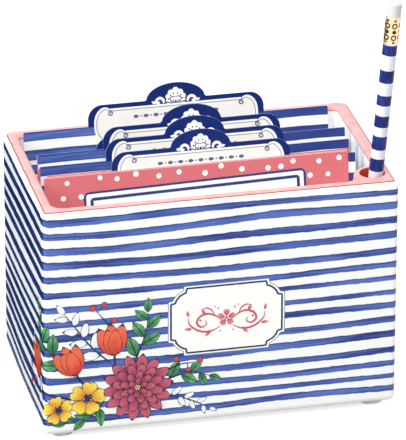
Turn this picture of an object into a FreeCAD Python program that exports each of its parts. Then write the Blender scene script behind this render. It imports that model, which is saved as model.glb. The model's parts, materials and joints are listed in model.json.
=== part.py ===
import FreeCAD
import Part
import math
import os

# Recipe card box: an open glazed ceramic box that holds leaning recipe cards and tabbed dividers, with
# a pencil standing in a well cast into its front right corner.
# Frame: origin on the table at the centre of the box's footprint, +X to the right, +Y to the back and
# +Z up. Lengths are in millimetres and angles in degrees.

V = FreeCAD.Vector
AXIS_X = V(1, 0, 0)
AXIS_Y = V(0, 1, 0)
AXIS_Z = V(0, 0, 1)

# ---------------------------------------------------------------- driving dimensions: box
box_width = 181.0
box_depth = 104.6
box_body_height = 122.1
wall = 7.1
floor_thickness = 6.0
front_corner_radius = 2.5
back_corner_radius = 6.0
base_edge_radius = 3.5
rim_outer_radius = 3.2
rim_inner_radius = 2.0
cavity_front_corner_radius = 6.0
cavity_back_corner_radius = 3.0
cavity_floor_radius = 2.0
underside_recess_depth = 1.0
underside_rim_width = 17.0
underside_corner_radius = 8.0

# ---------------------------------------------------------------- driving dimensions: feet
foot_height = 2.8
foot_diameter = 13.0
foot_edge_radius = 0.8
foot_setback = 4.0

# ---------------------------------------------------------------- driving dimensions: pencil well
well_bore_diameter = 12.4
well_depth = 65.0
well_side_wall = 4.3
well_front_wall = 7.3
well_boss_wall = 3.1
well_blend_radius = 6.0
well_mouth_radius = 0.5
well_floor_radius = 1.5

# ---------------------------------------------------------------- driving dimensions: dividers and cards
lean_angle = 9.0
divider_thickness = 0.5
divider_side_play = 3.9
divider_rise_over_rim = 1.0
divider_corner_radius = 0.6
tab_width = 91.7
tab_height = 10.9
tab_corner_radius = 7.5
dome_width = 30.5
dome_height = 8.5
dome_foot_radius = 1.2
low_divider_drop = 2.9
short_divider_drop = 5.9
card_thickness = 0.4
card_side_inset = 1.85
card_drop = 1.0
card_corner_radius = 0.5
leaf_seat_gap = 0.3
stack_front_gap = 0.5
packet_gap = 0.35
first_section_gap = 8.5
second_section_gap = 12.4
rear_rest_gap = 0.3

# ---------------------------------------------------------------- driving dimensions: pencil
pencil_diameter = 7.4
pencil_length = 156.0
pencil_side_gap = 0.45
pencil_seat_gap = 0.3
sharpened_length = 18.0
lead_diameter = 2.2
lead_point_diameter = 0.6
lead_exposed_length = 4.5
tenon_diameter = 6.6
ferrule_length = 14.5
ferrule_overlap = 8.4
ferrule_wall = 0.4
ferrule_rib_height = 0.15
ferrule_rib_width = 0.8
ferrule_rib_pitch = 1.6
ferrule_rib_count = 1
ferrule_rib_margin = 0.3
eraser_exposed_length = 7.0
eraser_edge_radius = 0.6

# ---------------------------------------------------------------- places worked out from the sizes
half_width = box_width / 2
half_depth = box_depth / 2
base_z = foot_height
rim_z = base_z + box_body_height
cavity_floor_z = base_z + floor_thickness
cavity_half_width = half_width - wall
cavity_half_depth = half_depth - wall

well_radius = well_bore_diameter / 2
well_boss_radius = well_radius + well_boss_wall
well_centre = V(half_width - well_side_wall - well_radius, -half_depth + well_front_wall + well_radius, 0)
well_floor_z = rim_z - well_depth

lean = math.radians(lean_angle)
lift_direction = V(0, math.sin(lean), math.cos(lean))

divider_width = 2 * (cavity_half_width - divider_side_play)
card_width = divider_width - 2 * card_side_inset
divider_body_height = (rim_z + divider_rise_over_rim - cavity_floor_z - leaf_seat_gap) / math.cos(lean)
card_height = divider_body_height - card_drop

# The kinds of leaf. A divider's kind tells how far its shoulders stop short of the tallest one's.
CARD = "card"
TALL_DIVIDER = "tall divider"
LOW_DIVIDER = "low divider"
SHORT_DIVIDER = "short divider"
DIVIDER_DROP = {TALL_DIVIDER: 0, LOW_DIVIDER: low_divider_drop, SHORT_DIVIDER: short_divider_drop}

# The leaves that stand together behind the pencil well, front to back: node, kind of leaf, the clear gap
# in front of it, and its shift along X as a share of the room beside it, because loose leaves never stand
# quite in line.
STACK = [
    ("recipe_card_1", CARD, 0, -0.59),
    ("recipe_card_2", CARD, packet_gap, -0.45),
    ("recipe_card_3", CARD, packet_gap, -0.52),
    ("divider_1", LOW_DIVIDER, packet_gap, -0.10),
    ("recipe_card_4", CARD, packet_gap, -0.21),
    ("divider_2", TALL_DIVIDER, first_section_gap, -0.28),
    ("recipe_card_5", CARD, packet_gap, -0.70),
    ("recipe_card_6", CARD, packet_gap, -0.35),
    ("divider_3", TALL_DIVIDER, second_section_gap, 0.15),
    ("recipe_card_7", CARD, packet_gap, -0.17),
    ("recipe_card_8", CARD, packet_gap, -0.24),
    ("divider_4", SHORT_DIVIDER, packet_gap, -0.74),
]
# The rear leaf rests against the rim at the back: node, kind and shift as a share of the room.
REAR_LEAF = ("divider_5", TALL_DIVIDER, -0.28)


# ---------------------------------------------------------------- helpers
MATCH_TOLERANCE = 0.01
SHORTEST_LINE = 1e-6


def is_near(first, second):
    return abs(first - second) < MATCH_TOLERANCE


def upright_edges(shape):
    """The straight edges that run along Z."""
    return [edge for edge in shape.Edges
            if is_near(edge.BoundBox.XLength, 0) and is_near(edge.BoundBox.YLength, 0)]


def edges_at_height(shape, z):
    """The edges that lie in the level plane at z."""
    return [edge for edge in shape.Edges
            if is_near(edge.BoundBox.ZMin, z) and is_near(edge.BoundBox.ZMax, z)]


def unit(vector):
    length = vector.Length
    return V(vector.x / length, vector.y / length, vector.z / length)


def arc_about(centre, start, end):
    """The shorter arc about a centre from start to end."""
    radius = (start - centre).Length
    middle = centre + unit(unit(start - centre) + unit(end - centre)) * radius
    return Part.Arc(start, middle, end).toShape()


def corner_arc(corner, along_first, along_second, radius):
    """A quarter arc that rounds a square corner, between its two sides' directions."""
    centre = corner + (along_first + along_second) * radius
    return arc_about(centre, corner + along_first * radius, corner + along_second * radius)


def joined(pieces):
    """A closed wire of arcs in order, with straight lines between them."""
    edges = []
    for index, piece in enumerate(pieces):
        following = pieces[(index + 1) % len(pieces)]
        edges.append(piece)
        line_start = piece.lastVertex().Point
        line_end = following.firstVertex().Point
        if (line_end - line_start).Length > SHORTEST_LINE:
            edges.append(Part.makeLine(line_start, line_end))
    return Part.Wire(edges)


def fillet_each(solid, radius_of_edge):
    """Rounds many edges at once, each with its own radius, so that unequal radii meet in smooth corners."""
    document = FreeCAD.newDocument()
    base = document.addObject("Part::Feature", "Base")
    base.Shape = solid
    fillet = document.addObject("Part::Fillet", "Fillet")
    fillet.Base = base
    radii = [(number, radius_of_edge(edge)) for number, edge in enumerate(solid.Edges, 1)]
    fillet.Edges = [(number, radius, radius) for number, radius in radii if radius]
    document.recompute()
    rounded = fillet.Shape.Solids[0].copy()
    FreeCAD.closeDocument(document.Name)
    return rounded


# ---------------------------------------------------------------- ceramic box
def outer_form():
    """The outside of the box: soft base edge, crisp front corners, rounder back corners, eased rim."""
    block = Part.makeBox(box_width, box_depth, box_body_height, V(-half_width, -half_depth, base_z))

    def radius_of_edge(edge):
        if is_near(edge.BoundBox.ZMax, base_z):
            return base_edge_radius
        if is_near(edge.BoundBox.ZMin, rim_z):
            return rim_outer_radius
        return front_corner_radius if edge.CenterOfMass.y < 0 else back_corner_radius

    return fillet_each(block, radius_of_edge)


def cavity_outline():
    """The plan of the card space: rounded corners, and a corner turned round the pencil well's boss."""
    left = -cavity_half_width
    right = cavity_half_width
    front = -cavity_half_depth
    back = cavity_half_depth
    to_right = AXIS_X
    to_back = AXIS_Y
    round_front_left = corner_arc(V(left, front, 0), to_back, to_right, cavity_front_corner_radius)
    round_back_right = corner_arc(V(right, back, 0), to_back * -1, to_right * -1, cavity_back_corner_radius)
    round_back_left = corner_arc(V(left, back, 0), to_right, to_back * -1, cavity_back_corner_radius)

    # The boss's round wall is tangent to a blend arc on each side, and those to the walls.
    reach = well_boss_radius + well_blend_radius
    front_blend_y = front + well_blend_radius
    front_blend_x = well_centre.x - math.sqrt(reach ** 2 - (front_blend_y - well_centre.y) ** 2)
    front_blend = V(front_blend_x, front_blend_y, 0)
    side_blend_x = right - well_blend_radius
    side_blend_y = well_centre.y + math.sqrt(reach ** 2 - (side_blend_x - well_centre.x) ** 2)
    side_blend = V(side_blend_x, side_blend_y, 0)
    boss_start = well_centre + unit(front_blend - well_centre) * well_boss_radius
    boss_end = well_centre + unit(side_blend - well_centre) * well_boss_radius
    blend_to_boss = arc_about(front_blend, V(front_blend_x, front, 0), boss_start)
    round_boss = arc_about(well_centre, boss_start, boss_end)
    blend_to_side = arc_about(side_blend, boss_end, V(right, side_blend_y, 0))
    return joined([round_front_left, blend_to_boss, round_boss, blend_to_side, round_back_right, round_back_left])


def cavity_form():
    """The card space as a solid, rounded where the walls meet the floor."""
    plan = Part.Face(cavity_outline())
    plan.translate(V(0, 0, cavity_floor_z))
    space = plan.extrude(AXIS_Z * (rim_z - cavity_floor_z))
    return space.makeFillet(cavity_floor_radius, edges_at_height(space, cavity_floor_z))


def well_form():
    """The pencil well's bore as a solid, with a softened floor."""
    bore = Part.makeCylinder(well_radius, well_depth, V(well_centre.x, well_centre.y, well_floor_z))
    return bore.makeFillet(well_floor_radius, edges_at_height(bore, well_floor_z))


def underside_form():
    """The shallow panel under the box that leaves a flat rim for the feet."""
    panel_width = box_width - 2 * underside_rim_width
    panel_depth = box_depth - 2 * underside_rim_width
    corner = V(-panel_width / 2, -panel_depth / 2, base_z)
    panel = Part.makeBox(panel_width, panel_depth, underside_recess_depth, corner)
    return panel.makeFillet(underside_corner_radius, upright_edges(panel))


def is_on_bore(edge):
    """True for an edge that lies on the pencil well's bore."""
    if not isinstance(edge.Curve, Part.Circle):
        return False
    offset = edge.Curve.Center - well_centre
    return is_near(math.hypot(offset.x, offset.y), 0) and is_near(edge.Curve.Radius, well_radius)


def box_body():
    body = outer_form().cut(cavity_form())
    on_rim = [edge for edge in edges_at_height(body, rim_z)
              if abs(edge.CenterOfMass.x) <= cavity_half_width and abs(edge.CenterOfMass.y) <= cavity_half_depth]
    body = body.makeFillet(rim_inner_radius, on_rim)
    body = body.cut(well_form())
    mouth = [edge for edge in edges_at_height(body, rim_z) if is_on_bore(edge)]
    body = body.makeFillet(well_mouth_radius, mouth)
    return body.cut(underside_form())


def foot(side, end):
    """A stick-on bumper under one corner. side is -1 left or 1 right, end is -1 front or 1 back."""
    radius = foot_diameter / 2
    x = side * (half_width - foot_setback - radius)
    y = end * (half_depth - foot_setback - radius)
    pad = Part.makeCylinder(radius, foot_height, V(x, y, 0))
    return pad.makeFillet(foot_edge_radius, edges_at_height(pad, 0))


# ---------------------------------------------------------------- cards and dividers
def sheet_form(width, height, corner_radius, thickness):
    """A rectangular sheet with eased corners, upright in the XZ plane with its foot on Z = 0."""
    left = -width / 2
    right = width / 2
    up = AXIS_Z
    across = AXIS_X
    outline = joined([
        corner_arc(V(left, 0, 0), across, up, corner_radius),
        corner_arc(V(left, 0, height), up * -1, across, corner_radius),
        corner_arc(V(right, 0, height), across * -1, up * -1, corner_radius),
        corner_arc(V(right, 0, 0), up, across * -1, corner_radius),
    ])
    return Part.Face(outline).extrude(AXIS_Y * thickness)


def dome_arc(foot_z):
    """The half ellipse that crowns a divider's tab, between its two feet at foot_z."""
    half_dome = dome_width / 2
    side = V(half_dome, 0, foot_z)
    crown = V(0, 0, foot_z + dome_height)
    centre = V(0, 0, foot_z)
    if half_dome >= dome_height:
        ellipse = Part.Ellipse(side, crown, centre)
    else:
        ellipse = Part.Ellipse(crown, side, centre)
    return Part.ArcOfEllipse(ellipse, ellipse.parameter(side), ellipse.parameter(V(-half_dome, 0, foot_z))).toShape()


def tab_form(shoulder_z):
    """The raised tab, rounded at its two top corners, with its dome, as a solid."""
    left = -tab_width / 2
    right = tab_width / 2
    tab_top = shoulder_z + tab_height
    radius = tab_corner_radius
    root = tab_corner_radius / 2
    up = AXIS_Z
    across = AXIS_X
    left_top = corner_arc(V(left, 0, tab_top), up * -1, across, radius)
    right_top = corner_arc(V(right, 0, tab_top), across * -1, up * -1, radius)
    low_right = V(right, 0, shoulder_z - root)
    low_left = V(left, 0, shoulder_z - root)
    edges = [
        left_top,
        Part.makeLine(left_top.lastVertex().Point, right_top.firstVertex().Point),
        right_top,
        Part.makeLine(right_top.lastVertex().Point, low_right),
        Part.makeLine(low_right, low_left),
        Part.makeLine(low_left, left_top.firstVertex().Point),
    ]
    tab = Part.Face(Part.Wire(edges)).extrude(AXIS_Y * divider_thickness)
    half_dome = dome_width / 2
    low_dome_left = V(-half_dome, 0, tab_top - root)
    low_dome_right = V(half_dome, 0, tab_top - root)
    dome_wire = Part.Wire([
        dome_arc(tab_top),
        Part.makeLine(V(-half_dome, 0, tab_top), low_dome_left),
        Part.makeLine(low_dome_left, low_dome_right),
        Part.makeLine(low_dome_right, V(half_dome, 0, tab_top)),
    ])
    dome = Part.Face(dome_wire).extrude(AXIS_Y * divider_thickness)
    return tab.fuse(dome)


def divider_form(body_height):
    """A divider: a card body with square shoulders and a domed tab in the middle, cut from one sheet."""
    sheet = sheet_form(divider_width, body_height, divider_corner_radius, divider_thickness)
    divider = sheet.fuse(tab_form(body_height)).removeSplitter()
    tab_top = body_height + tab_height
    dome_feet = [edge for edge in divider.Edges
                 if is_near(edge.BoundBox.YLength, divider_thickness)
                 and is_near(edge.CenterOfMass.z, tab_top) and is_near(abs(edge.CenterOfMass.x), dome_width / 2)]
    return divider.makeFillet(dome_foot_radius, dome_feet)


def thickness_of(kind):
    return card_thickness if kind == CARD else divider_thickness


def room_beside(kind):
    """How far a leaf can shift to either side before it meets a side wall."""
    return divider_side_play + card_side_inset if kind == CARD else divider_side_play


def depth_along_floor(thickness):
    """How much floor a leaning leaf, or a gap square to the leaves, takes up from front to back."""
    return thickness / math.cos(lean)


def foot_height_of(kind):
    """The height of a leaf's front bottom edge, when its rear one stands just over the cavity's floor."""
    return cavity_floor_z + leaf_seat_gap + thickness_of(kind) * math.sin(lean)


def standing_leaf(kind, shift, y):
    """A card or divider leaning back in its place, its foot at y and shifted by a share of its room."""
    if kind == CARD:
        leaf = sheet_form(card_width, card_height, card_corner_radius, card_thickness)
    else:
        leaf = divider_form(divider_body_height - DIVIDER_DROP[kind])
    leaf.rotate(V(0, 0, 0), AXIS_X, -lean_angle)
    leaf.translate(V(shift * room_beside(kind), y, foot_height_of(kind)))
    return leaf


def rear_leaf_y(kind):
    """Where the rear leaf's foot stands, so that it rests against the rim's rounded inner back edge."""
    rim_centre_y = cavity_half_depth + rim_inner_radius
    rim_centre_z = rim_z - rim_inner_radius
    square_distance = rim_inner_radius + rear_rest_gap + thickness_of(kind)
    lean_depth = (rim_centre_z - foot_height_of(kind)) * math.sin(lean)
    return rim_centre_y - (square_distance + lean_depth) / math.cos(lean)


def leaves():
    """Every card and divider in its place, front to back."""
    made = {}
    y = well_centre.y + well_boss_radius + stack_front_gap
    for node, kind, gap, shift in STACK:
        y += depth_along_floor(gap)
        made[node] = standing_leaf(kind, shift, y)
        y += depth_along_floor(thickness_of(kind))
    node, kind, shift = REAR_LEAF
    made[node] = standing_leaf(kind, shift, rear_leaf_y(kind))
    return made


# ---------------------------------------------------------------- pencil
# The pencil leans to the right: its side touches the mouth of the well, and the end of its full width
# touches the well's left side. It is built upright on its point and then leaned over.
pencil_radius = pencil_diameter / 2
tenon_radius = tenon_diameter / 2
sideways_play = well_radius - pencil_radius - pencil_side_gap
pencil_lean = math.atan2(2 * sideways_play, well_depth - pencil_seat_gap - sharpened_length)
pencil_direction = V(math.sin(pencil_lean), 0, math.cos(pencil_lean))
barrel_end = pencil_length - eraser_exposed_length - ferrule_length + ferrule_overlap
ferrule_start = pencil_length - eraser_exposed_length - ferrule_length
ferrule_end = ferrule_start + ferrule_length
ferrule_radius = tenon_radius + ferrule_wall


def pencil_lead():
    """The lead: a cone point, then a straight core along the whole barrel."""
    lead_radius = lead_diameter / 2
    point = Part.makeCone(lead_point_diameter / 2, lead_radius, lead_exposed_length)
    core = Part.makeCylinder(lead_radius, barrel_end - lead_exposed_length, V(0, 0, lead_exposed_length))
    return point.fuse(core).removeSplitter()


def pencil_barrel():
    """A round barrel, sharpened to a cone, with a slimmer tenon for the ferrule and a bore for the lead."""
    lead_radius = lead_diameter / 2
    profile = Part.makePolygon([
        V(0, 0, lead_exposed_length), V(lead_radius, 0, lead_exposed_length),
        V(pencil_radius, 0, sharpened_length), V(pencil_radius, 0, ferrule_start),
        V(tenon_radius, 0, ferrule_start), V(tenon_radius, 0, barrel_end),
        V(0, 0, barrel_end), V(0, 0, lead_exposed_length),
    ])
    turned = Part.Face(profile).revolve(V(0, 0, 0), AXIS_Z, 360)
    return turned.cut(Part.makeCylinder(lead_radius, barrel_end))


def rib_arc(low_z):
    """One rolled rib of the ferrule's outline, as an arc that stands out from its wall."""
    start = V(ferrule_radius, 0, low_z)
    crown = V(ferrule_radius + ferrule_rib_height, 0, low_z + ferrule_rib_width / 2)
    end = V(ferrule_radius, 0, low_z + ferrule_rib_width)
    return Part.Arc(start, crown, end).toShape()


def pencil_ferrule():
    """The thin metal sleeve over the barrel's tenon and the eraser, with a rolled bead at each end."""
    rib_starts = [ferrule_start + ferrule_rib_margin + ferrule_rib_pitch * index
                  for index in range(ferrule_rib_count)]
    rib_starts += [ferrule_end - ferrule_rib_margin - ferrule_rib_width - ferrule_rib_pitch * index
                   for index in reversed(range(ferrule_rib_count))]
    ribs = [rib_arc(low_z) for low_z in rib_starts]
    path = [V(tenon_radius, 0, ferrule_end), V(tenon_radius, 0, ferrule_start), V(ferrule_radius, 0, ferrule_start)]
    edges = [Part.makeLine(path[0], path[1]), Part.makeLine(path[1], path[2])]
    corner = path[2]
    for rib in ribs:
        edges.append(Part.makeLine(corner, rib.firstVertex().Point))
        edges.append(rib)
        corner = rib.lastVertex().Point
    outer_end = V(ferrule_radius, 0, ferrule_end)
    edges.append(Part.makeLine(corner, outer_end))
    edges.append(Part.makeLine(outer_end, path[0]))
    return Part.Face(Part.Wire(edges)).revolve(V(0, 0, 0), AXIS_Z, 360)


def pencil_eraser():
    """The eraser: a plug inside the ferrule and a worn, rounded head over it."""
    plug = Part.makeCylinder(tenon_radius, ferrule_end - barrel_end, V(0, 0, barrel_end))
    head = Part.makeCylinder(ferrule_radius, eraser_exposed_length, V(0, 0, ferrule_end))
    head = head.makeFillet(eraser_edge_radius, edges_at_height(head, pencil_length))
    return plug.fuse(head)


def stood_in_well(piece):
    """Leans a pencil piece to the right and drops its point to the floor of the well."""
    piece.rotate(V(0, 0, 0), AXIS_Y, math.degrees(pencil_lean))
    mouth_x = well_centre.x + sideways_play
    point_z = well_floor_z + pencil_seat_gap
    point_x = mouth_x - (rim_z - point_z) * math.tan(pencil_lean)
    piece.translate(V(point_x, well_centre.y, point_z))
    return piece


# ---------------------------------------------------------------- all nodes
def build():
    nodes = {"box_body": box_body()}
    for side, side_name in ((-1, "left"), (1, "right")):
        for end, end_name in ((-1, "front"), (1, "back")):
            nodes["foot_" + end_name + "_" + side_name] = foot(side, end)
    nodes.update(leaves())
    nodes["pencil_barrel"] = stood_in_well(pencil_barrel())
    nodes["pencil_lead"] = stood_in_well(pencil_lead())
    nodes["pencil_ferrule"] = stood_in_well(pencil_ferrule())
    nodes["pencil_eraser"] = stood_in_well(pencil_eraser())
    return nodes


os.makedirs("parts", exist_ok=True)
for name, shape in build().items():
    shape.exportStep("parts/" + name + ".step")
    print(name, "valid" if shape.isValid() else "INVALID", len(shape.Solids), round(shape.Volume, 1))
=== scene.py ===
"""Recipe card box: a hand painted, glazed box with recipe cards, tabbed dividers and a striped pencil.

Order of the work: sizes, drawing tools, nodes and node trees, materials, then each piece, then floor, lamps and
camera. Sizes are in millimetres and become metres where a mesh is placed."""
import json
import math
import random

import bmesh
import bpy
from mathutils import Matrix, Vector
from mathutils.geometry import tessellate_polygon


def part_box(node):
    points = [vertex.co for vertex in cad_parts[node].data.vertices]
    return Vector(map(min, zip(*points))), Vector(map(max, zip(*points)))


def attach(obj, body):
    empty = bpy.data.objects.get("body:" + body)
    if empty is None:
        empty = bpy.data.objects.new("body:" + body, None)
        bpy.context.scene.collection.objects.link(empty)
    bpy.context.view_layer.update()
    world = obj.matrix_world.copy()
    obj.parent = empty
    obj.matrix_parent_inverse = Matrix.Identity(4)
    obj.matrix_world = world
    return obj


MM = 0.001
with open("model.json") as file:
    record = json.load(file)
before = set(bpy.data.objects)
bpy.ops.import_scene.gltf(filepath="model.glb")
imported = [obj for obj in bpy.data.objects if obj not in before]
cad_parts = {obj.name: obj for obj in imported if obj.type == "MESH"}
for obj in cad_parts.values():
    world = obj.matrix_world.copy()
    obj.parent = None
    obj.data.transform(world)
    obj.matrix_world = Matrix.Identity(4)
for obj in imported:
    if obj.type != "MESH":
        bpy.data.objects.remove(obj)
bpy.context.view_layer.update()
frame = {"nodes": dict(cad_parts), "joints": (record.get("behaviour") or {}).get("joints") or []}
nodes = frame["nodes"]


# ---- sizes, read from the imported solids
def node_box(node):
    """A node's lowest and highest corners, in millimetres."""
    low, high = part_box(node)
    return low / MM, high / MM


BODY_LOW, BODY_HIGH = node_box("box_body")
SIDE_X, BACK_Y, RIM_Z = BODY_HIGH
FRONT_Y, BASE_Z = BODY_LOW.y, BODY_LOW.z
FRONT_CORNER, BACK_CORNER = 2.5, 6.0
RIM_EDGE, BASE_EDGE = 3.2, 3.5
WELL_CENTRE = Vector((80.0, -38.8, 0.0))
WELL_RADIUS = 6.2

lift_axis = {joint["child"]: Vector(joint["axis"]).normalized() for joint in frame["joints"]}
LEAF_UP = lift_axis["divider_1"]
LEAF_FACE = Vector((0.0, -LEAF_UP.z, LEAF_UP.y))
DIVIDER_THICKNESS, CARD_THICKNESS = 0.5, 0.4
TAB_HEIGHT, DOME_HEIGHT = 10.9, 8.5

PENCIL_AXIS = lift_axis["pencil"]
PENCIL_LENGTH = 156.0
POINT_PLACE = Vector((76.37, -38.8, RIM_Z - 64.7))
FERRULE_RADIUS, FERRULE_TOP = 3.7, 149.0


class Leaf:
    """A leaning card or divider: its front bottom edge's middle and its height along the lean."""

    def __init__(self, node, thickness):
        low, high = node_box(node)
        self.node = node
        self.foot = Vector(((low.x + high.x) / 2, low.y, low.z + thickness * LEAF_UP.y))
        self.height = (high.z - self.foot.z) / LEAF_UP.z

    def place(self, mesh):
        """Lays a flat drawing, X across, Y up the leaf and Z out of it, on the leaf's front, in metres."""
        turn = Matrix((Vector((1, 0, 0)), LEAF_UP, LEAF_FACE)).transposed().to_4x4()
        mesh.transform(Matrix.Scale(MM, 4) @ Matrix.Translation(self.foot) @ turn)


# ---- drawing tools
def arc(centre, radius, start, end, steps):
    """Points on a circle's arc, from one angle to another in degrees."""
    angles = [math.radians(start + (end - start) * i / steps) for i in range(steps + 1)]
    return [(centre[0] + radius * math.cos(a), centre[1] + radius * math.sin(a)) for a in angles]


def smooth_through(points, steps=6):
    """A smooth line through given points of any number of coordinates."""
    drawn = []
    for i in range(len(points) - 1):
        p0, p1, p2, p3 = (Vector(points[max(0, min(len(points) - 1, i + k))]) for k in (-1, 0, 1, 2))
        for step in range(steps):
            t = step / steps
            drawn.append(tuple(0.5 * (2 * p1 + (p2 - p0) * t + (2 * p0 - 5 * p1 + 4 * p2 - p3) * t * t
                                      + (3 * p1 - p0 - 3 * p2 + p3) * t ** 3)))
    return drawn + [tuple(points[-1])]


def mirrored(points):
    """The same line on the other side of X = 0, run backwards so that two halves join up."""
    return [(-x, y) for x, y in reversed(points)]


def moved(points, dx, dy, turn=0.0):
    """A drawing turned by degrees and shifted."""
    c, s = math.cos(math.radians(turn)), math.sin(math.radians(turn))
    return [(dx + x * c - y * s, dy + x * s + y * c) for x, y in points]


def rounded_box(left, bottom, right, top, radius, inset=0.0):
    """The outline of a rectangle with round corners, moved in by an inset."""
    reach = radius + inset
    corners = ((right - reach, bottom + reach), (right - reach, top - reach), (left + reach, top - reach),
               (left + reach, bottom + reach))
    return [point for i, corner in enumerate(corners) for point in arc(corner, radius, 90 * i - 90, 90 * i, 6)]


def even(points, half):
    """A line of one width."""
    return [(x, y, half) for x, y in points]


OUTLINE_STEP = 1.2


def around(outline, half):
    """A line of one width all round an outline, with close points on straight runs so that a brush can waver."""
    line = []
    for (x0, y0), (x1, y1) in zip(outline, outline[1:] + outline[:1]):
        count = max(1, round(math.hypot(x1 - x0, y1 - y0) / OUTLINE_STEP))
        line += [(x0 + (x1 - x0) * i / count, y0 + (y1 - y0) * i / count, half) for i in range(count)]
    return line


def tapered(points, half, start, end, tip):
    """A line that swells from its start and thins to its end, as a brush leaves it."""
    line = []
    for i, (x, y) in enumerate(points):
        t = i / (len(points) - 1)
        line.append((x, y, half * min(1.0, tip + (1 - tip) * t / start, tip + (1 - tip) * (1 - t) / end)))
    return line


def ring_of(centre, radius, count, first, size, jitter):
    """Places for petals round a centre, heading outwards, with a little jitter of heading and size."""
    places = []
    for i in range(count):
        heading = first + 360 * i / count + chance.uniform(-1, 1) * jitter * 60 / count
        scale = size * (1 + chance.uniform(-1, 1) * jitter * 0.12)
        angle = math.radians(heading)
        places.append((centre[0] + radius * math.cos(angle), centre[1] + radius * math.sin(angle), heading, scale))
    return places


def patch(outline, low, high, finish):
    """A flat patch of paint or print: the area inside an outline, from one height to another."""
    made = bmesh.new()
    corners = [made.verts.new((x, y, low)) for x, y in outline]
    for triangle in tessellate_polygon([[Vector((x, y, 0.0)) for x, y in outline]]):
        made.faces.new([corners[i] for i in triangle])
    raised = bmesh.ops.extrude_face_region(made, geom=made.faces[:], use_keep_orig=True)
    for item in raised["geom"]:
        if isinstance(item, bmesh.types.BMVert):
            item.co.z = high
    bmesh.ops.recalc_face_normals(made, faces=made.faces)
    mesh = bpy.data.meshes.new("patch")
    made.to_mesh(mesh)
    made.free()
    mesh.materials.append(finish)
    return mesh


def source_mesh(rows, keys, closed=()):
    """Loose points or lines for a tree to work on. Each row is a list of (x, y, value, ...); the values after the
    place become point attributes with the names in keys. A row of several points is a line."""
    mesh = bpy.data.meshes.new("source")
    places, edges, values = [], [], []
    for number, row in enumerate(rows):
        first = len(places)
        places += [(point[0], point[1], 0.0) for point in row]
        values += [point[2:] for point in row]
        edges += [(i, i + 1) for i in range(first, len(places) - 1)]
        if number in closed:
            edges.append((len(places) - 1, first))
    mesh.from_pydata(places, edges, [])
    for column, key in enumerate(keys):
        mesh.attributes.new(key, "FLOAT", "POINT").data.foreach_set("value", [row[column] for row in values])
    return mesh


CREASE = math.radians(30)


def joined_mesh(name, meshes):
    """One mesh from several, which keeps each one's materials and has crisp edges."""
    made = bmesh.new()
    finishes = []
    for mesh in meshes:
        first = len(made.faces)
        made.from_mesh(mesh)
        made.faces.ensure_lookup_table()
        finishes += [finish for finish in mesh.materials if finish and finish not in finishes]
        for face in made.faces[first:]:
            face.material_index = finishes.index(mesh.materials[face.material_index])
            face.smooth = True
    for edge in made.edges:
        edge.smooth = len(edge.link_faces) == 2 and edge.calc_face_angle() < CREASE
    whole = bpy.data.meshes.new(name)
    made.to_mesh(whole)
    made.free()
    for finish in finishes:
        whole.materials.append(finish)
    return whole


def new_object(name, data):
    """An object in the scene."""
    item = bpy.data.objects.new(name, data)
    bpy.context.scene.collection.objects.link(item)
    return item


def piece(name, mesh, body):
    """A finished mesh as a piece that rides on a body."""
    item = new_object(name, mesh)
    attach(item, body)


def coat(node, finish):
    """Gives a node its finish."""
    nodes[node].data.materials.clear()
    nodes[node].data.materials.append(finish)


# ---- the box's outer skin, unrolled
# A drawing for the box is made flat: X runs round the box from the middle of its front, to the right when
# positive, Y is the height over the table and Z stands out of the glaze.
FRONT_HALF = SIDE_X - FRONT_CORNER
SIDE_START = FRONT_HALF + FRONT_CORNER * math.pi / 2
SIDE_END = SIDE_START + (BACK_Y - BACK_CORNER) - (FRONT_Y + FRONT_CORNER)
BACK_START = SIDE_END + BACK_CORNER * math.pi / 2
HALF_ROUND = BACK_START + SIDE_X - BACK_CORNER
CORNER_CUTS = 6
EDGE_CUTS = 5


def box_skin(run, height, out):
    """Where a point of an unrolled drawing lies on the box."""
    distance = abs(run)
    for edge, past in ((BASE_EDGE, BASE_Z + BASE_EDGE - height), (RIM_EDGE, height - (RIM_Z - RIM_EDGE))):
        if past > 0:
            out -= edge - math.sqrt(max(0.0, edge ** 2 - past ** 2))
    if distance <= FRONT_HALF:
        x, y = distance, FRONT_Y - out
    elif distance <= SIDE_START:
        angle = (distance - FRONT_HALF) / FRONT_CORNER
        x = FRONT_HALF + (FRONT_CORNER + out) * math.sin(angle)
        y = FRONT_Y + FRONT_CORNER - (FRONT_CORNER + out) * math.cos(angle)
    elif distance <= SIDE_END:
        x, y = SIDE_X + out, FRONT_Y + FRONT_CORNER + distance - SIDE_START
    elif distance <= BACK_START:
        angle = (distance - SIDE_END) / BACK_CORNER
        x = SIDE_X - BACK_CORNER + (BACK_CORNER + out) * math.cos(angle)
        y = BACK_Y - BACK_CORNER + (BACK_CORNER + out) * math.sin(angle)
    else:
        x, y = HALF_ROUND - distance, BACK_Y + out
    return Vector((x if run > 0 else -x, y, height)) * MM


def spread(start, end, count):
    """Evenly spread values from start, one step short of end."""
    return [start + (end - start) * i / count for i in range(count)]


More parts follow.
